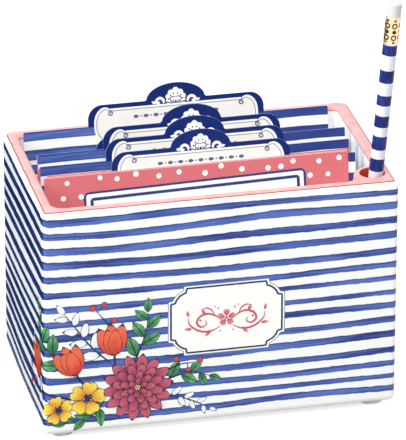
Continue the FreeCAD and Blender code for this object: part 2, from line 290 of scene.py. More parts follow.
def box_paint(name, meshes):
    """Joins unrolled drawings, cuts them across at the box's corners and edges, and bends them round it."""
    whole = joined_mesh(name, meshes)
    made = bmesh.new()
    made.from_mesh(whole)
    runs = (spread(FRONT_HALF, SIDE_START, CORNER_CUTS) + [SIDE_START]
            + spread(SIDE_END, BACK_START, CORNER_CUTS) + [BACK_START])
    heights = spread(BASE_Z + BASE_EDGE, BASE_Z, EDGE_CUTS) + spread(RIM_Z - RIM_EDGE, RIM_Z, EDGE_CUTS)
    for axis, cuts in ((Vector((1, 0, 0)), runs + [-run for run in runs]), (Vector((0, 1, 0)), heights)):
        reach = [vertex.co.dot(axis) for vertex in made.verts]
        for cut in cuts:
            if min(reach) < cut < max(reach):
                bmesh.ops.bisect_plane(made, geom=made.verts[:] + made.edges[:] + made.faces[:], dist=1e-5,
                                       plane_co=axis * cut, plane_no=axis)
    for vertex in made.verts:
        vertex.co = box_skin(*vertex.co)
    made.to_mesh(whole)
    made.free()
    piece(name, whole, "box")


# ---- nodes
def linear(hex_colour):
    """An sRGB hex colour as the linear colour that shaders use."""
    channels = [int(hex_colour[i:i + 2], 16) / 255 for i in (1, 3, 5)]
    return [c / 12.92 if c <= 0.04045 else ((c + 0.055) / 1.055) ** 2.4 for c in channels] + [1.0]


FAMILIES = ("ShaderNode", "GeometryNode", "FunctionNode", "Node")
MODES = {"Math": "operation", "VectorMath": "operation", "Mix": "data_type", "MapRange": "interpolation_type",
         "InputNamedAttribute": "data_type", "StoreNamedAttribute": "data_type"}


def adder(tree):
    """Clears a tree and returns the function that adds a node to it."""
    tree.nodes.clear()

    def add(kind, *values, **more):
        """Adds a node; its kind can end in a mode, as in Math.ADD. The values go to the inputs that the node shows,
        in order. A capital key is an input's name and a small one is a setting. A value is a number, a hex colour,
        a socket, a node for its first output, or a list of them for an input that takes several."""
        kind, _, mode = kind.partition(".")
        node = tree.nodes.new(next(family + kind for family in FAMILIES if hasattr(bpy.types, family + kind)))
        if mode:
            setattr(node, MODES[kind], mode)
        for key in [key for key in more if key[0].islower()]:
            setattr(node, key, more.pop(key))
        given = list(zip([socket for socket in node.inputs if socket.enabled], values))
        given += [(node.inputs[key.replace("_", " ")], value) for key, value in more.items()]
        for socket, value in given:
            for source in value if isinstance(value, list) else [value]:
                if isinstance(source, bpy.types.Node):
                    source = next(output for output in source.outputs if output.enabled)
                if isinstance(source, bpy.types.NodeSocket):
                    tree.links.new(source, socket)
                else:
                    socket.default_value = linear(source) if str(source).startswith("#") else source
        return node

    return add


# ---- geometry node trees
def start_tree(name, **sizes):
    """A tree with a geometry input, a named number input for each size, and the finish."""
    tree = bpy.data.node_groups.new(name, "GeometryNodeTree")
    tree.interface.new_socket("Geometry", in_out="INPUT", socket_type="NodeSocketGeometry")
    for label, value in sizes.items():
        tree.interface.new_socket(label, in_out="INPUT", socket_type="NodeSocketFloat").default_value = value
    tree.interface.new_socket("Finish", in_out="INPUT", socket_type="NodeSocketMaterial")
    tree.interface.new_socket("Geometry", in_out="OUTPUT", socket_type="NodeSocketGeometry")
    add = adder(tree)
    return add, add("GroupInput").outputs


def thickened(add, sheet, depth):
    """A flat sheet with a wall and a back, so that it is a closed slab."""
    raised = add("ExtrudeMesh", sheet, Offset=add("CombineXYZ", 0, 0, 1), Offset_Scale=depth, Individual=False,
                 mode="FACES")
    return add("MergeByDistance", add("JoinGeometry", [raised, add("FlipFaces", sheet)]), Distance=1e-4)


def on_each_point(add, given, sheet, rise, **more):
    """A thickened sheet on each point of the source, raised and scaled by the point's size."""
    points = add("SetPosition", given["Geometry"], Offset=add("CombineXYZ", 0, 0, rise))
    size = add("InputNamedAttribute", "size")
    sheets = add("InstanceOnPoints", points, Instance=thickened(add, sheet, given["Depth"]),
                 Scale=add("CombineXYZ", size, size, 1), **more)
    return add("RealizeInstances", sheets)


def end_tree(add, given, made):
    """Ends a tree and returns it."""
    whole = add("RealizeInstances", made)
    return add("GroupOutput", add("SetMaterial", whole, Material=given["Finish"])).id_data


def brush_line_tree():
    """A brushed or printed line along each path of the source. The path's half_width swells and tapers it, noise
    roughens each edge by itself, and mark keeps the way along, the way across and the stroke's own key."""
    add, given = start_tree("brush_line", Step=0.6, Low=0.0, Depth=0.05, Ragged=0.1, Grain=1.0)
    path = add("MeshToCurve", given["Geometry"])
    path = add("ResampleCurve", path, Length=given["Step"], mode="LENGTH")
    sideways = add("VectorMath.CROSS_PRODUCT", (0, 0, 1), add("InputTangent"))
    side = add("VectorMath.NORMALIZE", sideways)
    path = add("StoreNamedAttribute.FLOAT_VECTOR", path, Name="spine", Value=add("InputPosition"))
    path = add("StoreNamedAttribute.FLOAT_VECTOR", path, Name="side", Value=side)
    path = add("StoreNamedAttribute", path, Name="along", Value=add("SplineParameter").outputs["Length"])
    nib = add("CurvePrimitiveLine", (-1, 0, 0), (1, 0, 0))
    nib = add("StoreNamedAttribute", nib, Name="across", Value=add("SeparateXYZ", add("InputPosition")))
    ribbon = add("CurveToMesh", path, nib)
    along, across, key, half = (add("InputNamedAttribute", name) for name in ("along", "across", "key", "half_width"))
    spine, side = (add("InputNamedAttribute.FLOAT_VECTOR", name) for name in ("spine", "side"))
    edge = add("VectorMath.SCALE", side, across)
    # Each edge reads its noise 40 mm out from the stroke, so that the two waver apart.
    noise_place = add("VectorMath.ADD", spine, add("VectorMath.SCALE", edge, 40))
    swing = add("Math.SUBTRACT", add("TexNoise", noise_place, given["Grain"], 3, 0.6), 0.5)
    reach = add("Math.ADD", add("Math.MULTIPLY", swing, given["Ragged"]), half)
    flat = add("VectorMath.ADD", spine, add("VectorMath.SCALE", edge, reach))
    raised = add("VectorMath.ADD", flat, add("CombineXYZ", 0, 0, given["Low"]))
    slab = thickened(add, add("SetPosition", ribbon, Position=raised), given["Depth"])
    mark = add("CombineXYZ", along, across, key)
    return end_tree(add, given, add("StoreNamedAttribute.FLOAT_VECTOR", slab, Name="mark", Value=mark))


def petal_tree(name, *shape):
    """A petal or leaf on each point of the source, turned by its turn and scaled by its size. shape is the petal's
    width along its length, as points of a curve. mark keeps the way along, the way across and the petal's key, and
    rim the distance from its edge, so that the paint follows each petal."""
    add, given = start_tree(name, Length=10.0, Width=6.0, Notch=0.0, Low=0.0, Depth=0.05, Lift=0.012)
    grid = add("MeshGrid", 2, 2, 13, 11)
    x, y, _ = add("SeparateXYZ", add("InputPosition")).outputs
    # The square grid is pressed into a disc.
    disc = [add("Math.MULTIPLY", mine, add("Math.SQRT", add("Math.MULTIPLY_ADD", add("Math.MULTIPLY", other, other),
                                                            -0.5, 1))) for mine, other in ((x, y), (y, x))]
    along = add("Math.MULTIPLY_ADD", disc[0], 0.5, 0.5)
    widths = add("FloatCurve", Value=along)
    curve = widths.mapping.curves[0]
    curve.points[0].location, curve.points[1].location = shape[0], shape[-1]
    for point in shape[1:-1]:
        curve.points.new(*point)
    widths.mapping.update()
    half = add("Math.MULTIPLY", add("Math.MULTIPLY", given["Width"], 0.5), widths)
    along_square = add("Math.MULTIPLY", along, along)
    middle = add("MapRange.SMOOTHSTEP", add("Math.ABSOLUTE", disc[1]), 0, 0.45, 1, 0)
    dip = add("Math.MULTIPLY", add("Math.MULTIPLY", middle, given["Notch"]), along_square)
    length = add("Math.MULTIPLY", add("Math.SUBTRACT", along, dip), given["Length"])
    edge = add("Math.MAXIMUM", add("Math.ABSOLUTE", x), add("Math.ABSOLUTE", y))
    rim = add("Math.MULTIPLY", add("Math.SUBTRACT", 1, edge), half)
    for key, value in (("along", along), ("across", disc[1]), ("rim", rim)):
        grid = add("StoreNamedAttribute", grid, Name=key, Value=value)
    flat = add("SetPosition", grid, Position=add("CombineXYZ", length, add("Math.MULTIPLY", disc[1], half)))
    # Each petal lies a little over the one before it.
    rise = add("Math.MULTIPLY_ADD", add("InputIndex"), given["Lift"], given["Low"])
    turn, *marks = (add("InputNamedAttribute", key) for key in ("turn", "along", "across", "key"))
    petals = on_each_point(add, given, flat, rise, Rotation=add("EulerToRotation", add("CombineXYZ", 0, 0, turn)))
    return end_tree(add, given, add("StoreNamedAttribute.FLOAT_VECTOR", petals, Name="mark",
                                    Value=add("CombineXYZ", *marks)))


def dab_tree():
    """A round dab on each point of the source, scaled by its size and never quite round."""
    add, given = start_tree("dabs_on_points", Low=0.0, Depth=0.05, Wobble=0.1)
    dabs = on_each_point(add, given, add("MeshCircle", 20, 1, fill_type="NGON"), given["Low"])
    noise = add("TexNoise", add("InputPosition"), 0.5).outputs["Color"]
    swing = add("VectorMath.MULTIPLY", add("VectorMath.SUBTRACT", noise, (0.5, 0.5, 0.5)), (1, 1, 0))
    return end_tree(add, given, add("SetPosition", dabs, Offset=add("VectorMath.SCALE", swing, given["Wobble"])))


SPENT_KEYS = ("spine", "side", "along", "across", "half_width", "key", "turn", "size")


def grow(tree, source, finish, **sizes):
    """Runs a tree on a source mesh and returns the plain mesh that it makes."""
    item = new_object("source", source)
    modifier = item.modifiers.new("grow", "NODES")
    modifier.node_group = tree
    sockets = {socket.name: socket.identifier for socket in tree.interface.items_tree if socket.in_out == "INPUT"}
    for label, value in sizes.items():
        modifier[sockets[label]] = float(value)
    modifier[sockets["Finish"]] = finish
    depsgraph = bpy.context.evaluated_depsgraph_get()
    mesh = bpy.data.meshes.new_from_object(item.evaluated_get(depsgraph), preserve_all_data_layers=True,
                                           depsgraph=depsgraph)
    item.modifiers.remove(modifier)
    bpy.data.objects.remove(item)
    for key in SPENT_KEYS:
        if key in mesh.attributes:
            mesh.attributes.remove(mesh.attributes[key])
    made = bmesh.new()
    made.from_mesh(mesh)
    bmesh.ops.recalc_face_normals(made, faces=made.faces)
    made.to_mesh(mesh)
    made.free()
    return mesh


def strokes(lines, finish, closed=(), **sizes):
    """Brush lines from lists of (x, y, half width)."""
    rows = [[(*point, number) for point in line] for number, line in enumerate(lines)]
    return grow(BRUSH_LINE, source_mesh(rows, ("half_width", "key"), closed), finish, **sizes)


def dabs(points, finish, **sizes):
    """Round dabs from a list of (x, y, radius)."""
    return grow(DABS, source_mesh([[point] for point in points], ("size",)), finish, **sizes)


def petals(tree, points, finish, **sizes):
    """Petals from a list of (x, y, heading in degrees, size)."""
    rows = [[(x, y, math.radians(turn), size, number + 1)] for number, (x, y, turn, size) in enumerate(points)]
    return grow(tree, source_mesh(rows, ("turn", "size", "key")), finish, **sizes)


chance = random.Random(41)
BRUSH_LINE = brush_line_tree()
DABS = dab_tree()
ROUND_PETAL = petal_tree("round_petals", (0, 0.55), (0.3, 0.75), (0.65, 1.05), (1, 1.0))
POINTED_PETAL = petal_tree("pointed_petals", (0, 0.7), (0.35, 1.0), (0.75, 0.85), (1, 0.35))
TULIP_PETAL = petal_tree("tulip_petals", (0, 0.5), (0.3, 1.0), (0.68, 0.85), (1, 0.2))
ALMOND_LEAF = petal_tree("almond_leaves", (0, 0.3), (0.3, 1.0), (0.6, 0.9), (1, 0.12))


# ---- materials: shared tools
def bare_material(name):
    """An empty material and the function that adds its nodes."""
    material = bpy.data.materials.new(name)
    material.use_nodes = True
    return material, adder(material.node_tree)


def new_material(name):
    """An empty material, the function that adds its nodes, and its object coordinates in millimetres."""
    material, add = bare_material(name)
    return material, add, add("Mapping", add("TexCoord").outputs["Object"], Scale=(1000, 1000, 1000))


def surfaced(material, add, colour, roughness, normal, **shader):
    """Ends a material with its Principled shader and returns it."""
    surface = add("BsdfPrincipled", Base_Color=colour, Roughness=roughness, Normal=normal, **shader)
    add("OutputMaterial", surface)
    return material


# ---- materials: paint under the glaze
GLAZE = {"IOR": 1.5, "Specular_IOR_Level": 0.25}


def gloss(add, place):
    """The clear glaze over everything on the box: one smooth gloss skin with soft undulations about 14 mm across
    and a faint orange peel under a millimetre, the same on bare glaze and over paint. Returns its roughness and its
    normal."""
    mottle = add("MapRange", add("TexNoise", place, 0.03, 3), 0, 1, 0.14, 0.24)
    flow = add("Bump", 0.3, 0.0006, Height=add("TexNoise", place, 0.07, 1))
    return mottle, add("Bump", 0.12, 0.00004, Height=add("TexNoise", place, 1.4, 2), Normal=flow)


STROKES_APART = 7.3


def stroke_place(add, along_scale, across_scale):
    """The mark attribute, and it as a place for noise: along the stroke, across it, and apart for each stroke."""
    mark = add("Attribute", attribute_name="mark", attribute_type="GEOMETRY").outputs["Vector"]
    return mark, add("Mapping", mark, Scale=(along_scale, across_scale, STROKES_APART))


def cobalt_brush_stripe():
    """Cobalt underglaze laid on with a loaded flat brush: streaks run with the stroke, the colour thins where the
    brush runs dry, and paint pools in a dark seam along both edges."""
    material, add, place = new_material("cobalt_brush_stripe")
    mark, streak_place = stroke_place(add, 0.035, 1.6)
    load = add("TexNoise", add("Mapping", mark, Scale=(0.018, 0.25, 3.7)), 1, 2)
    tone = add("MapRange", add("Math.ADD", add("TexNoise", streak_place, 1, 4, 0.6), load), 0.8, 1.14)
    wash = add("Mix.RGBA", tone, "#20357F", "#566FBE")
    # Gravity and the brush's heel leave the upper edge darker than the lower one.
    lean_up = add("Math.ADD", add("SeparateXYZ", mark).outputs[1], 0.12)
    pooled = add("MapRange.SMOOTHSTEP", add("Math.ABSOLUTE", lean_up), 0.62, 1.05, 0, 0.85)
    seamed = add("Mix.RGBA", pooled, wash, "#14236B")
    # Painted shade: towards the box's left end the stripes darken to nearly navy.
    painted_shade_left_end = add("MapRange", add("SeparateXYZ", place), -SIDE_X + 1.2, -SIDE_X + 0.2, 0, 0.82)
    cobalt = add("Mix.RGBA", painted_shade_left_end, seamed, "#0E1854")
    return surfaced(material, add, cobalt, *gloss(add, place), **GLAZE)


def painted_petal(name, deep, light, ink, ink_width=0.32, veins=0.35, ribbed=False):
    """Translucent hand painted underglaze: deep at the petal's base and along its veins, light towards its tip, with
    a dark brushed outline of uneven width. A ribbed leaf has a dark midrib, and side veins that slope to its tip."""
    material, add, place = new_material(name)
    mark, vein_place = stroke_place(add, 0.8, 4.5)
    ways = add("SeparateXYZ", mark).outputs
    lean = add("Math.MULTIPLY_ADD", add("TexNoise", place, 0.22, 3), 0.9, -0.45)
    grade = add("MapRange.SMOOTHSTEP", add("Math.ADD", ways[0], lean), 0.1, 0.85)
    paint = add("Mix.RGBA", grade, deep, light)
    veined = add("MapRange", add("TexNoise", vein_place, 1, 3, 0.6), 0.42, 0.3, 0, veins)
    paint = add("Mix.RGBA", veined, paint, deep)
    line = add("MapRange", add("TexNoise", place, 0.35, 2), 0.3, 0.7, ink_width * 0.45, ink_width * 1.5)
    rim = add("Attribute", attribute_name="rim", attribute_type="GEOMETRY").outputs["Fac"]
    inked = add("MapRange.SMOOTHSTEP", add("Math.SUBTRACT", line, rim), -0.08, 0.06, 0, 0.94)
    paint = add("Mix.RGBA", inked, paint, ink)
    if ribbed:
        across = add("Math.ABSOLUTE", ways[1])
        midrib = add("MapRange", across, 0.09, 0.15, 0.9, 0)
        comb = add("Math.PINGPONG", add("Math.MULTIPLY_ADD", across, -0.35, ways[0]), 0.17)
        side_vein = add("MapRange", comb, 0.022, 0.04, 0.55, 0)
        side_vein = add("Math.MULTIPLY", side_vein, add("MapRange", across, 0.75, 0.55))
        paint = add("Mix.RGBA", add("Math.MAXIMUM", midrib, side_vein), paint, ink)
    return surfaced(material, add, paint, *gloss(add, place), **GLAZE)


def painted_line(name, dark, light):
    """A line of underglaze from a small round brush: darker and lighter as the load changes along it."""
    material, add, place = new_material(name)
    load = add("TexNoise", stroke_place(add, 0.16, 0.8)[1], 1, 3)
    paint = add("Mix.RGBA", add("MapRange", load, 0.32, 0.68), dark, light)
    return surfaced(material, add, paint, *gloss(add, place), **GLAZE)


# ---- materials: printed card
def sheet_sides(add, front, back, edge):
    """A sheet's colours on its front, its back and its cut edges, told apart by the true normal."""
    normal = add("NewGeometry").outputs["True Normal"]
    facing = add("VectorMath.DOT_PRODUCT", normal, LEAF_FACE)
    sides = add("Mix.RGBA", add("Math.GREATER_THAN", facing, 0.5), back, front)
    return add("Mix.RGBA", add("Math.GREATER_THAN", add("Math.ABSOLUTE", facing), 0.5), edge, sides)


def coated_paper(add, place, roughness):
    """Coated card stock: matt, with a fibre grain of a few tenths of a millimetre. Returns its roughness and its
    normal."""
    fibre = add("TexNoise", place, 1.6, 4, 0.65)
    grain = add("MapRange", fibre, 0.3, 0.7, roughness - 0.05, roughness + 0.05)
    return grain, add("Bump", 0.15, 0.00003, Height=fibre)


PRINT_PITCH = 10.4
PRINT_BLUR = 0.12


def printed_divider_card(leaf, navy_width, white_width, dark, light):
    """Heavy card stock printed on its front with watercolour stripes and a solid navy tab, white on the back, with
    pale cut edges. The pattern is in the leaf's own coordinates: across from its middle and up from its foot."""
    material, add, place = new_material("printed_card_stock_" + leaf.node)
    lean = math.atan2(LEAF_UP.y, LEAF_UP.z)
    own = add("Mapping", place, Location=-(Matrix.Rotation(lean, 3, "X") @ leaf.foot), Rotation=(lean, 0, 0))
    ways = add("SeparateXYZ", own).outputs
    from_top = add("Math.SUBTRACT", leaf.height - TAB_HEIGHT - DOME_HEIGHT, ways[2])
    drift = add("TexNoise", add("Mapping", own, Scale=(1, 0, 2.2)), 0.02, 3, 0.55)
    wavy = add("Math.ADD", from_top, add("MapRange", drift, 0.25, 0.75, -0.6, 0.6))
    part = add("Math.WRAP", wavy, PRINT_PITCH, 0)
    in_white, past_white = (add("MapRange.SMOOTHSTEP", part, edge - PRINT_BLUR, edge + PRINT_BLUR, low, 1 - low)
                            for edge, low in ((navy_width, 0), (navy_width + white_width, 1)))
    brushed = add("TexNoise", add("Mapping", own, Scale=(0.05, 0, 0.8)), 1, 4, 0.6)
    navy = add("Mix.RGBA", add("MapRange", brushed, 0.36, 0.64), dark, light)
    # Painted shade: the navy darkens towards the leaf's right end, where less light reaches it.
    navy = add("Mix.RGBA", add("MapRange", ways[0], -25, 65, 0, 0.85), navy, "#2A3C82")
    from_middle = add("Math.ABSOLUTE", add("Math.SUBTRACT", part, navy_width / 2))
    pooled = add("MapRange.SMOOTHSTEP", from_middle, navy_width / 2 - 0.9, navy_width / 2, 0, 0.6)
    navy = add("Mix.RGBA", pooled, navy, "#24357C")
    striped = add("Mix.RGBA", add("Math.MULTIPLY", in_white, past_white), navy, "#FBF9F8")
    solid = add("Mix.RGBA", add("TexNoise", own, 0.12, 3), "#061F62", "#0E2970")
    printed = add("Mix.RGBA", add("MapRange", from_top, 0.05, -0.1), striped, solid)
    colour = sheet_sides(add, printed, "#F2F1EC", "#8E9BCB")
    return surfaced(material, add, colour, *coated_paper(add, place, 0.5), Specular_IOR_Level=0.18)


def printed_recipe_card():
    """Smooth card printed coral on its front, white on its back, with lighter cut edges."""
    material, add, place = new_material("printed_coral_card")
    coral = add("Mix.RGBA", add("TexNoise", place, 0.03, 3), "#DB767B", "#D26D73")
    colour = sheet_sides(add, coral, "#F4F1EC", "#F3D9D6")
    return surfaced(material, add, colour, *coated_paper(add, place, 0.48), Specular_IOR_Level=0.2)


def printing_ink(name, low, high, scale=0.08):
    """Ink on coated card: nearly flat colour with the faint unevenness of a short print run."""
    material, add, place = new_material(name)
    ink = add("Mix.RGBA", add("MapRange", add("TexNoise", place, scale, 3), 0.3, 0.7), low, high)
    return surfaced(material, add, ink, *coated_paper(add, place, 0.5), Specular_IOR_Level=0.3)


# ---- materials: pencil and feet
# Where each navy band and each white one starts, from the eraser's end.
BAND_STOPS = (21.4, 27.2, 35.1, 41.4, 48.1, 53.6, 59.1, 65.1, 70.2, 77.5, 82.6, 89.2, 95.2, 101.2, 107.2, 113.4,
              119.6, 125.4, 131.2, 137.4)
# Blue added in streaks that run along the pencil.
STREAK_BLUE = (0.012, 0.035, 0.14)


def pencil_way(add, place):
    """How far a point lies from the pencil's point along its axis."""
    return add("VectorMath.DOT_PRODUCT", add("VectorMath.SUBTRACT", place, POINT_PLACE), PENCIL_AXIS)


def lacquered_cedar():
    """A cedar pencil dipped in several coats of gloss lacquer with navy bands over white, and bare wood where it is
    sharpened, which shows its rings and the knife's fine turning marks."""
    material, add, place = new_material("lacquered_cedar")
    along = pencil_way(add, place)
    from_end = add("Math.SUBTRACT", PENCIL_LENGTH, along)
    wavy = add("Math.MULTIPLY_ADD", add("TexNoise", place, 0.5, 1), 0.35, from_end)
    bands = add("ValToRGB", add("MapRange", wavy, 0, PENCIL_LENGTH))
    ramp = bands.color_ramp
    ramp.interpolation = "CONSTANT"
    white_paint, navy_paint = linear("#E6E6E8"), linear("#0A1B62")
    ramp.elements[0].color = white_paint
    ramp.elements.remove(ramp.elements[1])
    for number, stop in enumerate(BAND_STOPS):
        ramp.elements.new((stop + 0.17) / PENCIL_LENGTH).color = white_paint if number % 2 else navy_paint
    dull = add("MapRange", add("TexNoise", place, 0.25, 2), 0, 1, 1, 0.9)
    paint = add("VectorMath.SCALE", bands, dull)
    streak_noise = add("TexNoise", add("Mapping", place, Scale=(0.5, 0.5, 0.12)), 1, 2)
    paint = add("VectorMath.MULTIPLY_ADD", add("MapRange", streak_noise, 0.42, 0.72), STREAK_BLUE, paint)
    rings = add("TexNoise", add("Mapping", place, Scale=(2.2, 2.2, 0.12)), 1, 4, Distortion=0.6)
    wood = add("Mix.RGBA", rings, "#C98F5E", "#E7BE8C")
    facing = add("VectorMath.DOT_PRODUCT", add("NewGeometry").outputs["True Normal"], PENCIL_AXIS)
    sharpened = add("Math.LESS_THAN", facing, -0.08)
    cut = add("Math.MULTIPLY", add("Math.SINE", add("Math.MULTIPLY", along, 14)), sharpened)
    height = add("Math.MULTIPLY_ADD", cut, 0.15, add("TexNoise", place, 0.6, 1))
    return surfaced(material, add, add("Mix.RGBA", sharpened, paint, wood), add("Mix.FLOAT", sharpened, 0.22, 0.7),
                    add("Bump", 0.25, 0.00006, Height=height), **{**GLAZE, "Specular_IOR_Level": 0.2})


def fired_graphite():
    """Fired clay and graphite: dark grey with a dull metallic sheen and fine turning marks."""
    material, add, place = new_material("fired_graphite")
    grain = add("TexNoise", place, 3, 3)
    turned = add("Math.SINE", add("Math.MULTIPLY", pencil_way(add, place), 18))
    return surfaced(material, add, add("Mix.RGBA", grain, "#2B2B2E", "#4A4A4E"),
                    add("MapRange", grain, 0, 1, 0.35, 0.55), add("Bump", 0.2, 0.00003, Height=turned), Metallic=0.35)


def rolled_brass(name, bright, dark, roughness):
    """Thin brass coloured sleeve, drawn and rolled: bright, with fine drawing lines along it and duller grooves."""
    material, add, place = new_material(name)
    lines = add("TexNoise", add("Mapping", place, Scale=(3, 3, 0.15)), 1, 4)
    return surfaced(material, add, add("Mix.RGBA", add("MapRange", lines, 0.3, 0.7), dark, bright),
                    add("MapRange", lines, 0, 1, roughness, roughness + 0.12),
                    add("Bump", 0.12, 0.00003, Height=lines), Metallic=1.0)


def soft_moulded(name, low, high, roughness, scatter, grain_scale):
    """A soft moulded polymer, such as an eraser or a bumper: matt, slightly translucent, with a fine grain."""
    material, add, place = new_material(name)
    grain = add("TexNoise", place, grain_scale, 4, 0.65)
    return surfaced(material, add, add("Mix.RGBA", grain, low, high),
                    add("MapRange", grain, 0, 1, roughness - 0.06, roughness + 0.08),
                    add("Bump", 0.2, 0.00004, Height=grain), IOR=1.48, Subsurface_Weight=scatter,
                    Subsurface_Scale=0.001, Specular_IOR_Level=0.35)


# ---- materials: glazed earthenware
# How far under the rim its pink ends inside and outside, and how far up the base is bare.
PINK_INSIDE, PINK_OUTSIDE = 2.4, 0.5
BARE_FOOT = 0.5


def glazed_earthenware():
    """Slip cast earthenware under a clear gloss glaze: white inside and out, a pink rim with a darker line along its
    lower edge, partly glaze that gathers there and partly painted shade of the rounded rim edges, and a bare foot
    under the base."""
    material, add, place = new_material("glazed_earthenware")
    x, y, z = add("SeparateXYZ", place).outputs

    # The outside skin lies beyond both of these planes; the inside walls do not.
    past_side = add("Math.GREATER_THAN", add("Math.ABSOLUTE", x), SIDE_X - 3)
    past_front = add("Math.GREATER_THAN", add("Math.ABSOLUTE", y), -FRONT_Y - 3)
    outside = add("Math.MAXIMUM", past_side, past_front)

    # White body glaze, a little uneven in warmth.
    body = add("Mix.RGBA", add("TexNoise", place, 0.03, 3), "#FAFAF6", "#F5F7F6")

    # The pink rim stops just over the outer edge and a little way down inside.
    waver = add("MapRange", add("TexNoise", place, 0.08, 2), 0.3, 0.7, -0.05, 0.05)
    stop = add("Math.ADD", add("MapRange", outside, 0, 1, RIM_Z - PINK_INSIDE, RIM_Z - PINK_OUTSIDE), waver)
    over_stop = add("Math.SUBTRACT", z, stop)
    on_rim = add("MapRange.SMOOTHSTEP", over_stop, -0.06, 0.1)
    rim_tone = add("MapRange", add("TexNoise", place, 0.12, 4, 0.6), 0.3, 0.7)
    rim_pink = add("Mix.RGBA", rim_tone, "#F29C9A", "#F8B3B0")
    # A darker line along the pink's lower edge, inside and out: partly glaze gathered there, partly painted shade of
    # the rim's rounded edges.
    rim_line_pool_and_shade = add("MapRange.SMOOTHSTEP", over_stop, 0.26, 0.42, 1, 0)
    rim = add("Mix.RGBA", rim_line_pool_and_shade, rim_pink, "#A4504E")

    # The well is deep red all the way down.
    from_well = add("VectorMath.MULTIPLY", add("VectorMath.SUBTRACT", place, WELL_CENTRE), (1, 1, 0))
    in_well = add("MapRange", add("VectorMath.LENGTH", from_well), WELL_RADIUS + 0.45, WELL_RADIUS + 0.2)
    glazed = add("Mix.RGBA", add("Math.MAXIMUM", on_rim, in_well), body, add("Mix.RGBA", in_well, rim, "#C24542"))

    # The foot ring is wiped clean of glaze: bare, cream and matt.
    bare = add("MapRange", z, BASE_Z + BARE_FOOT, BASE_Z + BARE_FOOT - 0.3)
    mottle, normal = gloss(add, place)
    return surfaced(material, add, add("Mix.RGBA", bare, glazed, "#E8DECB"), add("Mix.FLOAT", bare, mottle, 0.85),
                    normal, **GLAZE)


# ---- the box: painted stripes
# How far over the table each stripe's middle lies at these places round the box, and how wide it is on the left
# end, at the left of the front and at the right of the front.
STRIPE_PLACES = (-184.7, -141.7, -96.7, -85.0, -57.0, -28.0, 0.0, 28.0, 57.0, 85.0)
STRIPES = (
    ((2.9, 3.8, 2.9), (119.9, 119.8, 121.0, 119.6, 119.3, 120.0, 120.4, 120.4, 119.9, 119.4)),
    ((3.7, 3.6, 3.8), (111.2, 112.2, 113.1, 112.3, 111.1, 111.4, 112.5, 113.6, 112.9, 112.3)),
    ((3.9, 3.8, 3.6), (102.3, 103.7, 104.5, 104.2, 103.0, 103.3, 104.1, 104.2, 104.0, 104.4)),
    ((3.9, 4.0, 3.7), (94.9, 95.6, 96.9, 96.5, 95.7, 94.9, 95.4, 95.8, 96.0, 96.3)),
    ((3.5, 3.3, 3.4), (87.4, 88.2, 89.2, 88.8, 87.9, 87.0, 86.5, 86.8, 86.7, 87.4)),
    ((3.9, 3.2, 3.1), (78.1, 78.2, 80.3, 80.3, 79.6, 79.3, 79.2, 78.9, 79.5, 79.8)),
    ((2.8, 3.3, 2.6), (70.0, 70.4, 72.1, 72.2, 71.7, 71.8, 72.0, 72.1, 72.2, 72.4)),
    ((2.7, 3.4, 2.6), (62.6, 62.5, 64.3, 64.2, 63.7, 63.9, 64.0, 64.0, 64.2, 64.5)),
    ((3.4, 3.8, 3.4), (56.0, 55.6, 56.6, 56.6, 55.9, 55.5, 56.3, 57.2, 57.4, 57.3)),
    ((3.8, 3.4, 3.3), (48.7, 47.6, 49.4, 48.5, 47.7, 47.8, 48.0, 48.3, 48.5, 49.5)),
    ((3.7, 4.2, 3.7), (42.1, 40.0, 42.0, 41.0, 40.5, 39.6, 39.8, 40.2, 40.6, 41.3)),
    ((3.6, 3.5, 3.3), (35.2, 33.2, 34.2, 33.0, 32.4, 31.9, 31.3, 31.5, 31.5, 32.3)),
    ((4.0, 3.0, 3.1), (27.0, 24.0, 25.0, 24.8, 24.6, 24.4, 24.3, 23.9, 24.4, 24.8)),
    ((2.6, 3.0, 2.6), (20.3, 17.4, 18.2, 17.9, 17.9, 18.0, 17.7, 17.6, 17.7, 17.6)),
    ((3.0, 3.3, 3.3), (13.0, 10.2, 10.6, 10.5, 10.2, 10.2, 10.6, 11.6, 11.5, 10.7)),
)
BACK_PLACES = (112.0, 140.0, 168.0, 200.0, 236.0)
BEHIND_LEFT = -228.0
# A painted stripe runs a little wider than its measured middle.
LEFT_SPREAD, FRONT_SPREAD = 1.22, 1.05
BACK_WAVER, WIDTH_WAVER = 1.0, 0.09
SEAM_SPAN = (4.0, 50.0)


def stripe_line(widths, heights):
    """One stripe all round the box, from somewhere near the middle of the back and round to it again, where its end
    laps over its start."""
    left, front_left, front_right = (width / 2 * grown for width, grown in
                                     zip(widths, (LEFT_SPREAD, FRONT_SPREAD, FRONT_SPREAD)))
    halves = [left] * 3 + [front_left] * 3 + [(front_left + front_right) / 2] + [front_right] * 3
    behind = [(place, heights[-1] + chance.uniform(-BACK_WAVER, BACK_WAVER), (front_right + left) / 2)
              for place in BACK_PLACES]
    seam = (heights[-1] + heights[0]) / 2
    points = [(-HALF_ROUND, seam, left), (BEHIND_LEFT, (seam + heights[0]) / 2 + 0.4, left),
              *zip(STRIPE_PLACES, heights, halves), *behind, (HALF_ROUND, seam, left)]
    line = [(x, y, half * (1 + WIDTH_WAVER * chance.uniform(-1, 1))) for x, y, half in smooth_through(points, 7)]
    start = chance.uniform(*SEAM_SPAN) - HALF_ROUND
    kept = [point for point in line[:-1] if point[0] >= start]
    lap = [point for point in line if point[0] < start] + kept[:1]
    return kept + [(x + 2 * HALF_ROUND, y, half) for x, y, half in lap]


box_paint("painted_stripes", [strokes([stripe_line(*stripe) for stripe in STRIPES], cobalt_brush_stripe(), Step=0.9,
                                      Low=-0.02, Depth=0.05, Ragged=0.75, Grain=0.35)])


